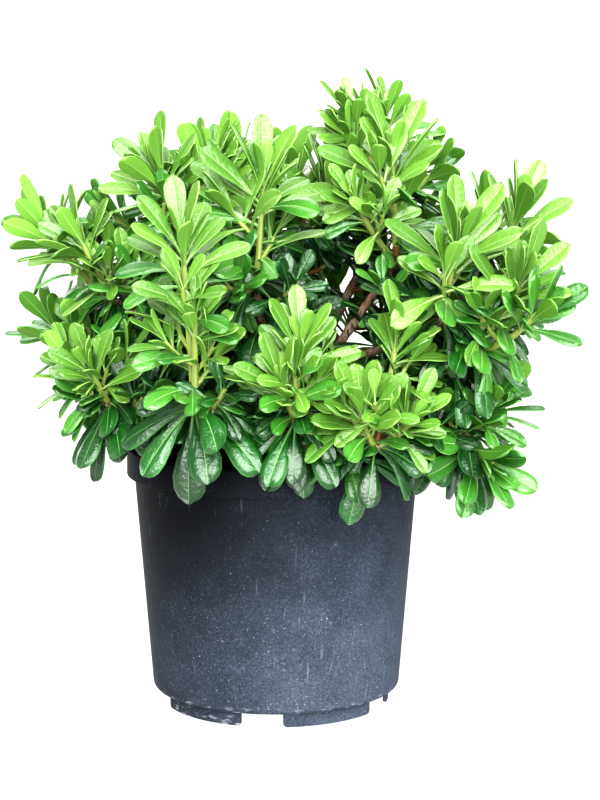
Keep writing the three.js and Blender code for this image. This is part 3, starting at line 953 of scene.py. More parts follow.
# The further ones: in the heart of a rosette, along its stem, round a fork, along a bough, on side twigs
HEART = Whorl(6, (50, 10), (22, 6), (0.95, 0.62), 0.1)
HEART_BUD = Whorl(4, (16, 4), (6, 2), (0.5, 0.3), 0)
STEM_FORMS = ((84, 62), (44, 30), (0.75, 0.9), 0.5)
OLD_SKIRT = Whorl(6, (92, 84), (50, 40), (0.95, 0.8), 0.8)
GROWN_SKIRT = Whorl(5, (74, 62), (50, 40), (0.7, 0.6), 0.8)
BOUGH_LEAVES = Whorl(16, (88, 76), (50, 40), (0.75, 0.9), 0.8)
SIDE_SPRAY = Spray(2.2, 1.8, 0, 0.35, Whorl(9, (72, 12), (34, 8), (1, 0.7), 0.3))
SPUR_SPRAY = Spray(2.6, 1.9, 0.5, 0.4, Whorl(12, (88, 22), (42, 12), (0.9, 0.7), 0.5))
FURTHER_SPRAY = Spray(2.8, 2, 0.12, 0.72, Whorl(13, (52, 8), (22, 6), (1, 0.75), 0.1))


@dataclass(frozen=True)
class Tunnel:
    """A way through the crown from front to back: its place across and up, half its width and height."""

    across: float
    height: float
    half_width: float
    half_height: float
    slope: float = -0.11

    def holds(self, point: Vector) -> bool:
        """Returns whether the point is in it."""
        beside = (point.x - self.across) / self.half_width
        above = (point.z - self.height - self.slope * point.y) / self.half_height
        return beside**2 + above**2 < 1


@dataclass
class Foliage:
    """The twigs and leaves of every mass, by the rule of the solids and carried on to finer ones."""

    # Every leaf and stem, in millimetres and degrees
    leaf_length: float = 68
    knuckle: float = 6
    gap: float = 0.3
    curl: float = 0.45
    tilt_spread: float = 7
    size_spread: float = 0.07
    looser: Triple = (2, 1.5, 2)
    lean: float = 46
    lean_middle: Vector = field(default_factory=lambda: Vector((0, 100, 0)))
    lean_rise: float = 0.6
    open_side: float = 260
    wander: float = 25
    young_from_lift: float = 35

    # The main leaves and twigs, which the solids have too
    main_seed_step: int = 101
    main_twig: Triple = (3.2, 2.3, 0.12)
    rosette_depth: float = 24
    stem_first: float = 16
    stem_step: float = 30
    skirt_count: int = 4
    fan_height: float = 305
    fan_count: int = 5
    fan_spread: float = 84
    fan_tilts: Pair = (150, 112)
    fan_arch: float = 24
    fan_size: float = 1.08
    fan_recurve: float = 0.3
    fanless: tuple[str, ...] = ("front_right",)

    # The further ones, which fill the crown
    further_seed_step: int = 977
    tints_drawn: int = 3
    heart_depth: float = 20
    leafy_from: float = 0.12
    leaf_step: float = 14
    skirt_heights: Pair = (4, 8)
    side_step: float = 40
    side_shares: Pair = (0.12, 0.62)
    side_lift: Pair = (35, 62)
    side_length: Pair = (24, 44)
    side_size: float = 0.85
    least_side_size: float = 0.72
    old_shares: Pair = (0.4, 0.97)
    spur_count: int = 6
    spur_shares: Pair = (0.4, 0.94)
    spur_wander: float = 50
    spur_lift: Pair = (10, 55)
    spur_length: Pair = (30, 62)
    spur_size: Pair = (0.7, 0.9)
    old_below_lift: float = 38
    further_shoots: dict[str, tuple[Shoot, ...]] = field(
        default_factory=lambda: {"top_back": (Shoot(-97, 67, 82, 0.72), Shoot(-70, 50, 78, 0.7))}
    )

    # The gap and its holes, the pot's rim, and where on a leaf or a way they are looked for
    sky: Tunnel = Tunnel(69, 372, 17, 38)
    sky_holes: tuple[Tunnel, ...] = (
        Tunnel(61, 401, 9, 11),
        Tunnel(69, 384, 4, 8),
        Tunnel(83, 375, 8, 6),
        Tunnel(64, 357, 6, 12),
        Tunnel(81, 332, 12, 6),
    )
    rim_radius: float = 142.5
    rim_height: float = 246.5
    way_shares: Pair = (0.5, 1.0)
    tip_shares: Pair = (0.7, 1.0)
    blade_shares: tuple[float, ...] = (0.4, 0.6, 0.8, 1.0)
    edge_shares: tuple[float, ...] = (0.35, 0.6, 0.8, 1.0)
    blade_half: float = 0.4

    # How far the crown reaches, what has grown, and the stream of the mass that grows
    crown_middle: Vector = field(default_factory=lambda: Vector((0, 0, 320)))
    reach_cone: float = 16
    leaves: list[Leaf] = field(default_factory=list)
    twigs: list[Twig] = field(default_factory=list)
    reach: list[Vector] = field(default_factory=list)
    random: RandomStream = field(default_factory=lambda: RandomStream(0))

    def hides_hole(self, leaf: Leaf) -> bool:
        """Returns whether a leaf would hide one of the small holes that the sky still shows through."""
        points = leaf.points(self.blade_shares, self.blade_half * leaf.width)
        return any(hole.holds(point) for point in points for hole in self.sky_holes)

    def in_pot(self, point: Vector) -> bool:
        """Returns whether the point is under the rim, in the pot or in its wall."""
        return point.z < self.rim_height and math.hypot(point.x, point.y) < self.rim_radius

    def is_open(self, way: Bend) -> bool:
        """Returns whether a twig leaves the sky open and stays off the pot."""
        points = [way.point(share) for share in self.way_shares]
        return not any(self.sky.holds(point) or self.in_pot(point) for point in points)

    def clear(self, leaf: Leaf, shape: bool) -> bool:
        """Returns whether a leaf stays off the pot and leaves the sky open.

        A leaf that gives the crown its shape keeps out of the whole gap, a further one out of its holes.
        """
        if shape and any(self.sky.holds(leaf.point(share)) for share in self.tip_shares):
            return False
        if not shape and self.hides_hole(leaf):
            return False
        return not any(self.in_pot(point) for point in leaf.points(self.edge_shares, leaf.width / 2))

    def within_reach(self, leaf: Leaf) -> bool:
        """Returns whether a leaf's tip stays among those of the main leaves on its side."""
        way = leaf.point(1) - self.crown_middle
        cone = math.cos(math.radians(self.reach_cone))
        least = way.length
        return any(
            main.length >= least and main.dot(way) >= cone * main.length * least for main in self.reach
        )

    def keep(self, leaves: Iterable[Leaf], shape: bool = True) -> None:
        """Keeps the clear leaves: those that give the crown its shape, and others within its reach."""
        for leaf in leaves:
            if shape and self.clear(leaf, shape):
                self.leaves.append(leaf)
                self.reach += [leaf.point(share) - self.crown_middle for share in self.tip_shares]
            elif not shape and self.clear(leaf, shape) and self.within_reach(leaf):
                self.leaves.append(leaf)

    def lay(
        self,
        place: tuple[Vector, Vector],
        turn: float,
        form: Form,
        length: float,
        age: LeafAge,
        tint: int | None = None,
    ) -> Leaf:
        """Lays out a leaf, with its angles and its length scattered a little.

        Args:
            place: Where it starts, on its stem's axis, and the way of its stem.
            turn: Its turn round the stem, in degrees.
            form: Its other angles, and how it bends back and hangs.
            length: Its length before the scatter.
            age: How old it is.
            tint: Which of its age's colours it has. A further leaf draws it, and scatters more.

        Returns:
            The leaf.
        """
        root, axis = place
        more_turn, more_tilt, more_size = self.looser if tint is None else (1, 1, 1)
        turn += self.random.jitter(more_turn * self.tilt_spread)
        tilt = form.tilt + self.random.jitter(more_tilt * self.tilt_spread)
        arch = form.arch + self.random.jitter(more_tilt * self.tilt_spread)
        roll = self.random.jitter(more_turn * self.tilt_spread)
        length *= 1 + self.random.jitter(more_size * self.size_spread)
        if tint is None:
            tint = self.random.choose(self.tints_drawn)
        turn, tilt, arch = (math.radians(angle) for angle in (turn, tilt, arch))
        side, front = square_to(axis)
        out = side * math.cos(turn) + front * math.sin(turn)
        start = axis * math.cos(tilt) + out * math.sin(tilt)
        pull = axis * -form.recurve - UP * form.droop
        pull = (pull - start * pull.dot(start)).normalized()
        end = start * math.cos(arch) + pull * math.sin(arch)
        roll += self.lean_of(root, start, -pull)
        across = Quaternion(start, math.radians(roll)) @ start.cross(pull)
        return Leaf(root, start, end, across, length, length * LEAF_LOOKS[age].width, age, tint)

    def lean_of(self, root: Vector, start: Vector, face: Vector) -> float:
        """Returns the roll in degrees by which a leaf turns its face outwards, to the light."""
        away = root + start * (self.leaf_length / 2) - self.lean_middle
        away.z = 0
        light = (away.normalized() + UP * self.lean_rise).normalized()
        over, beside = face.dot(light), start.cross(face).dot(light)
        size = math.hypot(over, beside)
        return self.lean * beside / size if size > 0 else 0.0

    def turn_to_light(self, path: Bend) -> float:
        """Returns the turn in degrees, round the tip of a stem, at which it faces the light."""
        side, front = square_to(path.direction(1))
        away = path.end - self.lean_middle
        away.z = 0
        return math.degrees(math.atan2(away.dot(front), away.dot(side)))

    def fork_of(self, bough: Bough) -> Vector:
        """Returns the point just beyond a bough's tip that its shoots spring from."""
        return bough.path.point(1) + bough.tip_axis() * (self.gap + self.knuckle)

    def shoot_path(self, fork: Vector, shoot: Shoot) -> Bend:
        """Returns the way of a shoot from the fork, curling up towards its tip."""
        heart = fork + heading(shoot.turn, shoot.lift) * shoot.length
        middle = fork.lerp(heart, 0.5)
        middle -= UP * (shoot.length * self.curl * 0.5 * math.cos(math.radians(shoot.lift)))
        return Bend(fork, middle, heart)

    def age_of(self, shoot: Shoot) -> LeafAge:
        """Returns the age of a shoot's leaves: the upright ones are this year's."""
        return LeafAge.YOUNG if shoot.lift >= self.young_from_lift else LeafAge.GROWN

    def main_shoot(self, path: Bend, shoot: Shoot) -> list[Leaf]:
        """Grows the leaves that the solids have too: a rosette, and leaves along the stem."""
        phase = self.turn_to_light(path) - self.open_side + self.random.jitter(self.wander)
        length = self.leaf_length * shoot.size
        leaves = []
        for i in range(MAIN_ROSETTE.count):
            inner = i / (MAIN_ROSETTE.count - 1)
            place = path.place(1 - self.rosette_depth * (1 - inner) / shoot.length)
            form = MAIN_ROSETTE.form(inner)
            turn = phase + GOLDEN_TURN * i
            leaves.append(self.lay(place, turn, form, length * form.size, self.age_of(shoot), i))
        at, count = self.stem_first, 0
        while at < shoot.length - self.rosette_depth:
            count += 1
            place = path.place(at / shoot.length)
            turn = phase - GOLDEN_TURN * count
            leaves.append(self.lay(place, turn, MAIN_STEM, length * MAIN_STEM.size, LeafAge.GROWN, count))
            at += self.stem_step
        return leaves

    def skirt(self, bough: Bough) -> list[Leaf]:
        """Grows the old leaves round the fork of a bough that the solids have too."""
        phase = 360 * self.random.next()
        place = self.fork_of(bough), bough.tip_axis().lerp(UP, 0.5).normalized()
        length = self.leaf_length * bough.plan.skirt
        turns = [phase + 360 / self.skirt_count * i for i in range(self.skirt_count)]
        return [self.lay(place, turn, MAIN_SKIRT, length, LeafAge.OLD, i) for i, turn in enumerate(turns)]

    def fan(self, bough: Bough) -> list[Leaf]:
        """Grows the long old leaves that hang from a low mass on its outer side."""
        length = self.leaf_length * self.fan_size * bough.plan.skirt
        leaves = []
        for i in range(self.fan_count):
            spread = mix(-1, 1, i / (self.fan_count - 1))
            tilt = mix(*self.fan_tilts, abs(spread))
            form = Form(tilt, self.fan_arch, self.fan_size, self.fan_recurve, droop=1)
            turn = bough.plan.turn - 90 + self.fan_spread * spread
            leaves.append(self.lay((self.fork_of(bough), UP), turn, form, length, LeafAge.OLD, i))
        return leaves

    def whorl(self, path: Bend, shares: Pair, rule: Whorl, usual: float, age: LeafAge) -> None:
        """Grows further leaves in a spiral round a stem, and keeps those that fit.

        Args:
            path: The stem's way.
            shares: Where on the way the first and the last leaf stand.
            rule: The number and the forms of the leaves.
            usual: The length that their sizes are shares of.
            age: How old they are.
        """
        phase = 360 * self.random.next()
        first, last = (size * usual for size in rule.sizes)
        leaves = []
        for i in range(rule.count):
            inner = i / max(1, rule.count - 1)
            place = path.place(mix(*shares, inner))
            turn = phase + GOLDEN_TURN * i
            leaves.append(self.lay(place, turn, rule.form(inner), mix(first, last, inner), age))
        self.keep(leaves, shape=False)

    def spray(self, path: Bend, size: float, rule: Spray, age: LeafAge) -> None:
        """Grows a further leafy twig, with leaves of this age and size."""
        self.twigs.append(Twig(path, rule.foot_radius, rule.tip_radius, rule.green_from))
        self.whorl(path, (rule.leaves_from, 1), rule.leaves, self.leaf_length * size, age)

    def grow_mass(self, bough: Bough, seed: int) -> None:
        """Grows the main leaves and twigs of the mass that a bough carries."""
        self.random = RandomStream(seed + self.main_seed_step * (bough.index + 1))
        for shoot in bough.plan.shoots():
            path = self.shoot_path(self.fork_of(bough), shoot)
            self.keep(self.main_shoot(path, shoot))
            self.twigs.append(Twig(path, *self.main_twig))
        self.keep(self.skirt(bough))
        if bough.plan.height < self.fan_height and bough.plan.name not in self.fanless:
            self.keep(self.fan(bough))

    def fill_mass(self, bough: Bough, seed: int) -> None:
        """Grows the further leaves and twigs of the mass that a bough carries, which fill it."""
        self.random = RandomStream(seed + self.further_seed_step * (bough.index + 1))
        fork = self.fork_of(bough)
        for shoot in bough.plan.shoots():
            path = self.shoot_path(fork, shoot)
            usual = self.leaf_length * shoot.size
            tip = 1 - self.heart_depth / shoot.length
            self.whorl(path, (tip, 1), HEART, usual, self.age_of(shoot))
            self.whorl(path, (1, 1), HEART_BUD, usual, LeafAge.BUD)
            count = max(2, round((shoot.length - self.heart_depth) / self.leaf_step))
            along = Whorl(count, *STEM_FORMS)
            self.whorl(path, (self.leafy_from, tip), along, usual, LeafAge.GROWN)
            self.side_shoots(path, shoot)
        for shoot in self.further_shoots.get(bough.plan.name, ()):
            path = self.shoot_path(fork, shoot)
            self.spray(path, shoot.size, FURTHER_SPRAY, LeafAge.YOUNG)
        upright = Bend(fork, *(fork + UP * height for height in self.skirt_heights))
        usual = self.leaf_length * bough.plan.skirt
        self.whorl(upright, (0, 1), OLD_SKIRT, usual, LeafAge.OLD)
        self.whorl(upright, (0, 1), GROWN_SKIRT, usual, LeafAge.GROWN)
        self.fill_bough(bough)

    def side_shoots(self, path: Bend, shoot: Shoot) -> None:
        """Grows small rosettes that spring from the sides of a shoot along its way."""
        count = max(1, round(shoot.length / self.side_step))
        phase = 360 * self.random.next()
        for k in range(count):
            root = path.point(mix(*self.side_shares, (k + 0.5) / count))
            lift = self.random.between(self.side_lift)
            length = self.random.between(self.side_length)
            size = max(self.least_side_size, shoot.size * self.side_size)
            way = self.shoot_path(root, Shoot(phase + GOLDEN_TURN * k, lift, length, size))
            if self.is_open(way):
                self.spray(way, size, SIDE_SPRAY, self.age_of(shoot))

    def fill_bough(self, bough: Bough) -> None:
        """Grows old leaves and short spurs along the outer part of a bough."""
        path = bough.path
        self.whorl(path, self.old_shares, BOUGH_LEAVES, self.leaf_length, LeafAge.OLD)
        for k in range(self.spur_count):
            root = path.point(mix(*self.spur_shares, k / (self.spur_count - 1)))
            turn = bough.plan.turn + 90 * (1 if k % 2 else -1) + self.random.jitter(self.spur_wander)
            lift = self.random.between(self.spur_lift)
            length = self.random.between(self.spur_length)
            size = self.random.between(self.spur_size)
            way = self.shoot_path(root, Shoot(turn, lift, length, size))
            if self.is_open(way):
                age = LeafAge.OLD if lift < self.old_below_lift else LeafAge.GROWN
                self.spray(way, size, SPUR_SPRAY, age)

    def grow(self, framework: Framework) -> None:
        """Grows every mass of the framework, the main leaves first."""
        for bough in framework.boughs:
            self.grow_mass(bough, framework.seed)
        for bough in framework.boughs:
            self.fill_mass(bough, framework.seed)


# The pieces


@dataclass(frozen=True)
class LeafBlade:
    """The shape of one leaf: rings across it, from its base to its tip, with a groove along its rib.

    Each ring has the share of the length at its middle and at its margin, its half width against the
    widest, and the half width of its rib against its own. Across a ring stand eight points above and
    two below, and the margins are shared.
    """

    rings: tuple[tuple[float, float, float, float], ...] = (
        (0.0, 0.0, 0.12, 0.9),
        (0.18, 0.18, 0.17, 0.5),
        (0.4, 0.39, 0.48, 0.085),
        (0.58, 0.57, 0.82, 0.042),
        (0.75, 0.73, 1.0, 0.028),
        (0.88, 0.86, 0.93, 0.022),
        (0.955, 0.93, 0.7, 0.018),
        (0.99, 0.975, 0.4, 0.02),
        (1.0, 0.99, 0.14, 0.05),
    )
    groove: float = 0.02
    bulge: float = 0.055
    margin: float = 0.05
    hang: float = 0.75
    deepening: float = 1.5
    under_rib: float = 0.8
    thickness: float = 1.0

    def points(self, look: LeafLook) -> tuple[np.ndarray, ...]:
        """Gives the points of the blade.

        Args:
            look: What leaves of its age are like, which gives its fold.

        Returns:
            For each point its share of the length, its side in half widths, and its lift, first in
            widths and then in millimetres.
        """
        rows = []
        drop = -look.margin_drop
        inner = 1 - self.margin
        hang = mix(self.bulge, drop, self.hang)
        for middle, margin, half, rib in self.rings:
            mid = (1 + rib) / 2
            deep = min(1.0, half * self.deepening)
            right = ((rib, -self.groove), (mid, self.bulge), (inner, hang), (1.0, drop))
            left = tuple((-place, raised) for place, raised in reversed(right))
            for place, raised in left + right:
                share = mix(margin, middle, 1 - place * place)
                lift = (raised + look.fold * abs(place) / 2) * deep
                rows.append((share, place * half, lift, 0.0 if abs(place) == 1 else self.thickness / 2))
            for place in (-rib, rib):
                share = mix(margin, middle, self.under_rib)
                rows.append((share, place * half, -self.groove * deep, -self.thickness / 2))
        return tuple(np.array(column) for column in zip(*rows))

    def faces(self) -> tuple[list[tuple[int, ...]], list[int]]:
        """Returns the corners of each face, outwards, and which side of the leaf it belongs to."""
        over, under = list(range(8)), [0, 8, 9, 7]
        row = max(under) + 1
        parts = {0: LeafSide.MARGIN, 3: LeafSide.RIB, 6: LeafSide.MARGIN}
        corners: list[tuple[int, ...]] = []
        sides: list[int] = []
        for ring in range(len(self.rings) - 1):
            a, b = ring * row, (ring + 1) * row
            for k, (one, other) in enumerate(zip(over, over[1:])):
                corners.append((a + one, b + one, b + other, a + other))
                sides.append(parts.get(k, LeafSide.TOP).value)
            for k, (one, other) in enumerate(zip(under, under[1:])):
                corners.append((a + one, a + other, b + other, b + one))
                sides.append(LeafSide.UNDER_RIB.value if k == 1 else LeafSide.UNDER.value)
        around = over + under[2:0:-1]
        last = (len(self.rings) - 1) * row
        corners.append(tuple(around))
        corners.append(tuple(last + k for k in [*under[1:3], *reversed(over)]))
        sides += [LeafSide.UNDER.value] * 2
        return corners, sides


def joined_mesh(
    name: str,
    points: np.ndarray,
    corners: list[tuple[int, ...]],
    slots: np.ndarray,
    finishes: list[Finish],
    crease: float,
) -> Thing:
    """Joins many copies of one shape into one piece.

    Args:
        name: The piece's name.
        points: The points of every copy in turn, in metres.
        corners: The corners of one copy's faces.
        slots: The finish of every face in turn.
        finishes: The finishes.
        crease: The angle in degrees above which an edge stays sharp.

    Returns:
        The piece.
    """
    each = len(points) * len(corners) // len(slots)
    firsts = range(0, len(points), each)
    mesh = bpy.data.meshes.new(name)
    mesh.from_pydata(points, [], [[first + k for k in face] for first in firsts for face in corners])
    mesh.polygons.foreach_set("material_index", slots.astype(np.int32))
    mesh.update(calc_edges=True)
    mesh.validate()
    for finish in finishes:
        mesh.materials.append(finish)
    thing = bpy.data.objects.new(name, mesh)
    bpy.context.scene.collection.objects.link(thing)
    pick(thing)
    smooth(crease)
    return thing


@dataclass
class LeafPieces:
    """The leaves, joined by age into pieces."""

    foliage: Foliage
    nodes: list[str]
    blade: LeafBlade = field(default_factory=LeafBlade)
    crease: float = 50
    most: int = 1100

    def build(self) -> None:
        """Builds the pieces of each age, none with too many leaves."""
        for age, look in LEAF_LOOKS.items():
            leaves = [leaf for leaf in self.foliage.leaves if leaf.age is age]
            finishes = [finish.material() for finish in look.finishes(f"leaf_{age.value}")]
            for number, first in enumerate(range(0, len(leaves), self.most), start=1):
                some = leaves[first : first + self.most]
                self.piece(f"leaves_{age.value}_{number}", look, some, finishes)

    def piece(
        self, name: str, look: LeafLook, leaves: list[Leaf], finishes: list[Finish]
    ) -> None:
        """Builds a piece of leaves of one age.

        Args:
            name: The piece's name.
            look: What leaves of that age are like.
            leaves: The leaves.
            finishes: The finishes of that age, those of each tint in turn.
        """
        share, side, lift, thick = (column[None, :, None] for column in self.blade.points(look))
        corners, sides = self.blade.faces()
        root, start, end, across = (
            np.array([getattr(leaf, part) for leaf in leaves])[:, None, :]
            for part in ("root", "start", "end", "across")
        )
        length, width = (
            np.array([getattr(leaf, part) for leaf in leaves])[:, None, None] for part in ("length", "width")
        )
        half = length / 2
        middle = root + start * (half * (2 * share - share**2)) + end * (half * share**2)
        along = start * (1 - share) + end * share
        face = np.cross(along, np.broadcast_to(across, along.shape))
        face /= np.linalg.norm(face, axis=2, keepdims=True)
        points = middle + across * (side * width / 2)
        points = points + face * (lift * width + thick)
        tint_of = np.array([leaf.tint % len(look.tints) for leaf in leaves])
        slots = (tint_of[:, None] * len(LeafSide) + np.array(sides)[None, :]).ravel()
        thing = joined_mesh(name, points.reshape(-1, 3) * MM, corners, slots, finishes, self.crease)
        put_on(thing, self.nodes)


@dataclass
class TwigPiece:
    """The twigs, joined into one piece: brown at the foot and green from there on."""

    foliage: Foliage
    nodes: list[str]
    sides: int = 7
    rings: int = 7
    scar: float = 0.12
    waist: float = -0.4
    crease: float = 50

    def build(self) -> None:
        """Builds the piece."""
        count, spans = self.sides, self.rings - 1
        angles = 2 * math.pi * np.arange(count) / count
        points = []
        slots = []
        for number, twig in enumerate(self.foliage.twigs):
            for ring in range(self.rings):
                share = ring / spans
                side, front = (np.array(v) for v in square_to(twig.path.direction(share)))
                swell = 1 + self.scar * (1 if (ring + number) % 2 else self.waist)
                radius = mix(twig.foot_radius, twig.tip_radius, share) * swell
                circle = np.outer(np.cos(angles), side) + np.outer(np.sin(angles), front)
                points.append(np.array(twig.path.point(share)) + radius * circle)
            for ring in range(spans):
                slots += [int(ring / spans >= twig.green_from)] * count
            slots += [0, 1]
        corners = []
        for ring in range(spans):
            for k in range(count):
                a, b = ring * count + k, ring * count + (k + 1) % count
                corners.append((a, b, b + count, a + count))
        corners.append(tuple(reversed(range(count))))
        corners.append(tuple(spans * count + k for k in range(count)))
        finishes = [finish.material() for finish in TWIG_FINISHES]
        places = np.concatenate(points) * MM
        thing = joined_mesh("twigs", places, corners, np.array(slots), finishes, self.crease)
        put_on(thing, self.nodes)


@dataclass
class Limbs:
    """The trunk and the boughs, grown together under one bark with relief."""

    framework: Framework
    rings: tuple[Pair, ...] = ((0, 19), (6, 15), (18, 12.5), (34, 11.5), (46, 12))
    sides: int = 28
    grain: float = 0.00135
    furrow_size: float = 0.004
    furrow_depth: float = 0.0014
    lump_size: float = 0.018
    lumpier: float = 1.2
    tube_rounding: int = 4
    tube_steps: int = 24
    knuckle_sides: int = 12
    knuckle_rings: int = 8
    knot: float = 1.3
    knuckle: float = 10
    knuckle_stretch: float = 0.75

    def build(self) -> None:
        """Builds the piece."""
        boughs = self.framework.boughs
        limbs = join([self.trunk()] + [self.bough(bough) for bough in boughs], "limbs")
        remesh = limbs.modifiers.new("skin", "REMESH")
        remesh.mode = "VOXEL"
        remesh.voxel_size = self.grain
        self.roughen(limbs, "furrows", self.furrow_size, self.furrow_depth)
        self.roughen(limbs, "lumps", self.lump_size, self.lumpier * self.furrow_depth)
        apply_modifiers(limbs)
        bpy.ops.object.shade_smooth()
        dress(limbs, BarkFinish().material())
        put_on(limbs, ["trunk"] + [f"bough_{bough.plan.name}" for bough in boughs])

    def roughen(self, limbs: Thing, name: str, size: float, depth: float) -> None:
        """Adds a modifier that raises and lowers the surface in clouds of this size and depth."""
        pattern = bpy.data.textures.new(name, "CLOUDS")
        pattern.noise_scale = size
        wave = limbs.modifiers.new(name, "DISPLACE")
        wave.texture = pattern
        wave.strength = depth
        wave.mid_level = 0.5
        wave.texture_coords = "LOCAL"

    def trunk(self) -> Thing:
        """Returns the trunk, drawn up ring by ring from its foot."""
        full = self.rings[-1][0]
        rings = [
            (self.framework.trunk_point(height / full) * MM, radius * MM) for height, radius in self.rings
        ]
        trunk = draw_up("trunk_core", self.sides, rings)
        bpy.ops.object.mode_set(mode="OBJECT")
        return trunk

    def bough(self, bough: Bough) -> Thing:
        """Returns one bough as a tapering tube that ends in its knuckle."""
        path = bough.path
        clear_selection()
        bpy.ops.curve.primitive_bezier_curve_add(location=(0, 0, 0))
        tube = newest(f"core_{bough.plan.name}")
        line = tube.data
        line.dimensions = "3D"
        line.bevel_depth = MM
        line.bevel_resolution = self.tube_rounding
        line.resolution_u = self.tube_steps
        line.use_fill_caps = True
        first, last = line.splines[0].bezier_points
        for point, place, radius in (
            (first, path.start, bough.foot_radius),
            (last, path.end, self.framework.tip_radius),
        ):
            inwards = place.lerp(path.middle, 2 / 3)
            outwards = place * 2 - inwards
            point.handle_left_type = point.handle_right_type = "FREE"
            point.co = place * MM
            point.handle_left = (inwards if point == last else outwards) * MM
            point.handle_right = (inwards if point == first else outwards) * MM
            point.radius = radius
        pick(tube)
        bpy.ops.object.convert(target="MESH")
        return join([newest(tube.name), self.node_end(bough)], tube.name)

    def node_end(self, bough: Bough) -> Thing:
        """Returns the swollen knuckle at a bough's tip, that its shoots spring from."""
        axis = bough.tip_axis()
        clear_selection()
        bpy.ops.mesh.primitive_uv_sphere_add(
            segments=self.knuckle_sides,
            ring_count=self.knuckle_rings,
            radius=1,
            location=(bough.path.end + axis * (self.knuckle / 2)) * MM,
            rotation=axis.to_track_quat("Z", "Y").to_euler(),
        )
        knuckle = newest("knuckle")
        wide = self.framework.tip_radius * self.knot * MM
        knuckle.scale = (wide, wide, self.knuckle_stretch * self.knuckle * MM)
        settle(knuckle)
        return knuckle


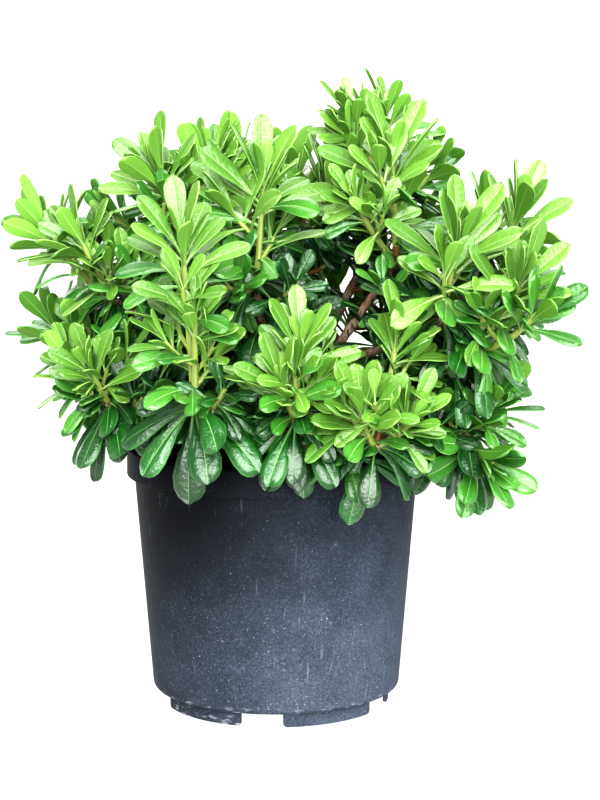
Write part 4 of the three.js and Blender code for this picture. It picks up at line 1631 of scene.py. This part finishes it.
@dataclass
class NurseryPot:
    """The round nursery container with its band, its rolled edges and its ring of feet."""

    sides: int = 128
    wall: float = 3
    wall_steps: int = 8
    foot_height: float = 14
    base_radius: float = 116.5
    base_rounding: float = 4.5
    base_steps: int = 5
    neck_radius: float = 133
    band_radius: float = 140
    band_bottom: float = 218
    band_rounding: float = 0.7
    band_segments: int = 3
    height: float = 244
    rim_rounding: float = 2
    rim_corner: float = 0.35
    floor: float = 3.5
    feet: int = 5
    foot_radius: float = 107
    foot_span: float = 51
    foot_steps: int = 18
    first_foot: float = 29.5
    foot_corner: float = 4
    foot_segments: int = 5
    foot_sink: float = 1
    foot_rounding: float = 0.5
    crease: float = 35

    def build(self) -> None:
        """Builds and dresses the shell and the feet."""
        finish = PotPlastic().material()
        for piece in (self.shell(), self.ring_of_feet()):
            dress(piece, finish)
            put_on(piece, ["pot"])

    def profile(self) -> list[Pair]:
        """Returns the radius and height of each step of the shell, from under the floor to inside it."""
        steps = [(self.base_radius - self.base_rounding, self.foot_height)]
        for k in range(1, self.base_steps + 1):
            angle = math.radians(90 * k / self.base_steps)
            out = self.base_rounding * (math.sin(angle) - 1)
            rise = self.base_rounding * (1 - math.cos(angle))
            steps.append((self.wall_radius(self.foot_height + rise) + out, self.foot_height + rise))
        for k in range(1, self.wall_steps + 1):
            level = mix(self.foot_height + self.base_rounding, self.band_bottom, k / self.wall_steps)
            steps.append((self.wall_radius(level), level))
        corner = self.rim_corner * self.rim_rounding
        return steps + [
            (self.band_radius, self.band_bottom),
            (self.band_radius, self.height - self.rim_rounding),
            (self.band_radius - corner, self.height - corner),
            (self.band_radius - self.rim_rounding, self.height),
            (self.band_radius - self.wall, self.height),
            (self.band_radius - self.wall, self.band_bottom + self.wall),
            (self.neck_radius - self.wall, self.band_bottom),
            (self.base_radius - self.wall, self.foot_height + self.floor),
        ]

    def wall_radius(self, level: float) -> float:
        """Returns the outer radius of the wall at a height."""
        share = (level - self.foot_height) / (self.band_bottom - self.foot_height)
        return mix(self.base_radius, self.neck_radius, share)

    def shell(self) -> Thing:
        """Returns the shell, drawn up from a disc step by step and back down inside."""
        rings = [((0, 0, level * MM), radius * MM) for radius, level in self.profile()]
        shell = draw_up("pot_shell", self.sides, rings)
        bevel_edges(shell, self.is_band_edge, self.band_rounding * MM, self.band_segments)
        smooth(self.crease)
        return shell

    def is_band_edge(self, edge: bmesh.types.BMEdge) -> bool:
        """Returns whether the edge is on the band's outer lower corner."""
        return all(
            abs(end.co.z - self.band_bottom * MM) < NEAR
            and abs(math.hypot(end.co.x, end.co.y) - self.band_radius * MM) < NEAR
            for end in edge.verts
        )

    def first_of_feet(self) -> Thing:
        """Returns one foot, spun round from an upright plane."""
        clear_selection()
        bpy.ops.mesh.primitive_plane_add(size=1, location=(0, 0, 0))
        foot = newest("pot_feet")
        tall = self.foot_height + self.foot_sink
        reach = self.foot_radius - self.wall / 2
        bpy.ops.object.mode_set(mode="EDIT")
        bpy.ops.mesh.select_all(action="SELECT")
        bpy.ops.transform.resize(value=(self.wall * MM, tall * MM, 1))
        bpy.ops.transform.rotate(value=math.radians(90), orient_axis="X", center_override=(0, 0, 0))
        bpy.ops.transform.translate(value=(reach * MM, 0, tall / 2 * MM))
        span = math.radians(self.foot_span)
        bpy.ops.mesh.spin(steps=self.foot_steps, angle=span, center=(0, 0, 0), axis=UP, dupli=False)
        bpy.ops.mesh.select_all(action="SELECT")
        bpy.ops.mesh.remove_doubles(threshold=SAME)
        bpy.ops.mesh.normals_make_consistent(inside=False)
        bevel_edges(foot, self.is_foot_corner, self.foot_corner * MM, self.foot_segments)
        return foot

    def ring_of_feet(self) -> Thing:
        """Returns the feet, one modelled and the others copied from it."""
        foot = self.first_of_feet()
        spun = self.spin_middle(foot)
        feet = [foot]
        for _ in range(1, self.feet):
            copy = foot.copy()
            copy.data = foot.data.copy()
            bpy.context.scene.collection.objects.link(copy)
            feet.append(copy)
        for k, one in enumerate(feet):
            turn = self.first_foot + 360 / self.feet * k - 90 - spun
            one.rotation_euler = (0, 0, math.radians(turn))
            settle(one)
        ring = join(feet, "pot_feet")
        edge = ring.modifiers.new("edges", "BEVEL")
        edge.width = self.foot_rounding * MM
        edge.segments = 2
        edge.limit_method = "ANGLE"
        apply_modifiers(ring)
        smooth(self.crease)
        return ring

    def is_foot_corner(self, edge: bmesh.types.BMEdge) -> bool:
        """Returns whether the edge is a lower corner at one end of the foot that is being shaped."""
        low = all(end.co.z < NEAR for end in edge.verts)
        level = abs(edge.verts[0].co.z - edge.verts[1].co.z) < SAME
        radii = [math.hypot(end.co.x, end.co.y) for end in edge.verts]
        across = abs(radii[0] - radii[1]) > 0.5 * self.wall * MM
        return low and level and across and len(edge.link_faces) == 2 and edge.calc_face_angle(0) > 1

    def spin_middle(self, foot: Thing) -> float:
        """Returns the turn in degrees, from +X, of the middle of the foot as it was spun."""
        turns = [math.degrees(math.atan2(v.co.y, v.co.x)) for v in foot.data.vertices]
        return (min(turns) + max(turns)) / 2


@dataclass
class PottingMix:
    """The potting mix: its body, which stays, and the crumbs that lie on it."""

    top: float = 218
    crown: float = 5
    radius: float = 128
    crumbs: int = 700
    sizes: Pair = (1.2, 4.2)
    longer: Pair = (0.7, 1.6)
    flatter: Pair = (0.4, 0.8)
    lifted: float = 0.25
    spin_axis: Triple = (0.2, 0.1, 1)
    crease: float = 70
    seed: int = 7

    def build(self) -> None:
        """Dresses the body and strews the crumbs."""
        finish = CrumbFinish().material()
        dress(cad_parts["soil"], finish)
        self.strew(finish)

    def strew(self, finish: Finish) -> None:
        """Strews the crumbs, with this finish, over the surface."""
        clear_selection()
        bpy.ops.mesh.primitive_ico_sphere_add(subdivisions=1, radius=1, location=(0, 0, 0))
        crumb = newest("crumb")
        shape = np.array([vertex.co for vertex in crumb.data.vertices])
        corners = [tuple(face.vertices) for face in crumb.data.polygons]
        bpy.data.objects.remove(crumb)
        random = RandomStream(self.seed)
        points = []
        for _ in range(self.crumbs):
            away = self.radius * math.sqrt(random.next())
            turn = 2 * math.pi * random.next()
            size = random.between(self.sizes)
            level = self.top + self.crown * (1 - away / self.radius) + self.lifted * size
            long = size * random.between(self.longer)
            stretch = np.array([long, size, size * random.between(self.flatter)])
            spin = Quaternion(self.spin_axis, 2 * math.pi * random.next())
            turned = shape * stretch @ np.array(spin.to_matrix()).T
            points.append(turned + np.array([away * math.cos(turn), away * math.sin(turn), level]))
        slots = np.zeros(self.crumbs * len(corners))
        thing = joined_mesh("crumbs", np.concatenate(points) * MM, corners, slots, [finish], self.crease)
        put_on(thing, [])


@dataclass(frozen=True)
class Lamp:
    """A broad far lamp, like a bright patch of cloud.

    It has the way towards it, how wide it looks in degrees, and its power in watts per square metre.
    """

    name: str
    away: Triple
    spread: float
    power: float

    def build(self) -> None:
        """Adds the lamp."""
        clear_selection()
        bpy.ops.object.light_add(type="SUN", location=self.away)
        lamp = newest(self.name)
        lamp.data.angle = math.radians(self.spread)
        lamp.data.energy = self.power
        lamp.rotation_euler = (-Vector(self.away)).to_track_quat("-Z", "Y").to_euler()


@dataclass
class Studio:
    """A plain white floor and backdrop, soft light and the camera."""

    camera_place: Vector = field(default_factory=lambda: Vector((0.0227, -2.153, 0.6146)))
    pitch: float = 8.684
    lens: float = 104.445
    sensor: float = 36
    clip_end: float = 50
    floor_size: float = 30.0
    floor_grey: float = 0.1
    floor_glow: float = 0.7
    floor_roughness: float = 0.9
    card_grey: float = 0.4
    card_glow: float = 0.85
    card_roughness: float = 0.5
    world_strength: float = 0.34
    lamps: tuple[Lamp, ...] = (
        Lamp("overhead", (0.3, -1.45, 1.05), 74, 6.6),
        Lamp("behind", (-0.4, 1, 1.1), 60, 1.4),
        Lamp("front", (-0.35, -1.6, 0.35), 80, 1.65),
    )

    def build(self) -> None:
        """Builds the whole set."""
        clear_selection()
        bpy.ops.mesh.primitive_plane_add(size=self.floor_size, location=(0, 0, 0))
        floor = newest("studio_floor")
        dress(floor, self.white("studio_floor_white", self.floor_grey, self.floor_glow, self.floor_roughness))
        self.light()
        clear_selection()
        place = (0, self.floor_size / 2, 0)
        upright = (math.radians(90), 0, 0)
        bpy.ops.mesh.primitive_plane_add(size=self.floor_size, location=place, rotation=upright)
        card = newest("studio_backdrop")
        dress(card, self.white("studio_backdrop_white", self.card_grey, self.card_glow, self.card_roughness))
        self.camera()

    def white(self, name: str, grey: float, glow: float, roughness: float) -> Finish:
        """Returns a plain finish that is grey under the lamps and glows white by itself."""
        sheet = NodeSheet(name)
        sheet.set(base_color=(grey, grey, grey, 1), roughness=roughness)
        sheet.set(emission_color=(1, 1, 1, 1), emission_strength=glow)
        return sheet.material

    def light(self) -> None:
        """Sets the surrounding light, the soft lamps and the contrast of the picture."""
        world = bpy.data.worlds.new("studio_world")
        world.use_nodes = True
        around = world.node_tree.nodes["Background"].inputs
        around["Color"].default_value = (1, 1, 1, 1)
        around["Strength"].default_value = self.world_strength
        bpy.context.scene.world = world
        for lamp in self.lamps:
            lamp.build()
        view = bpy.context.scene.view_settings
        view.view_transform = "Standard"
        view.look = "High Contrast"

    def camera(self) -> None:
        """Sets up the camera at the photo's viewing angle."""
        clear_selection()
        turn = (math.radians(90 - self.pitch), 0, 0)
        bpy.ops.object.camera_add(location=self.camera_place, rotation=turn)
        camera = newest("studio_camera")
        camera.data.lens = self.lens
        camera.data.sensor_width = self.sensor
        camera.data.clip_end = self.clip_end
        bpy.context.scene.camera = camera


def main() -> None:
    """Builds the plant and its set, in order."""
    logging.basicConfig(level=logging.INFO, format="%(message)s")
    framework = Framework()
    framework.grow()
    foliage = Foliage()
    foliage.grow(framework)
    LOG.info("%d leaves, %d twigs", len(foliage.leaves), len(foliage.twigs))
    masses = [f"mass_{bough.plan.name}" for bough in framework.boughs]
    Studio().build()
    NurseryPot().build()
    PottingMix().build()
    Limbs(framework).build()
    TwigPiece(foliage, masses).build()
    LeafPieces(foliage, masses).build()
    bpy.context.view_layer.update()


if __name__ == "__main__":
    main()
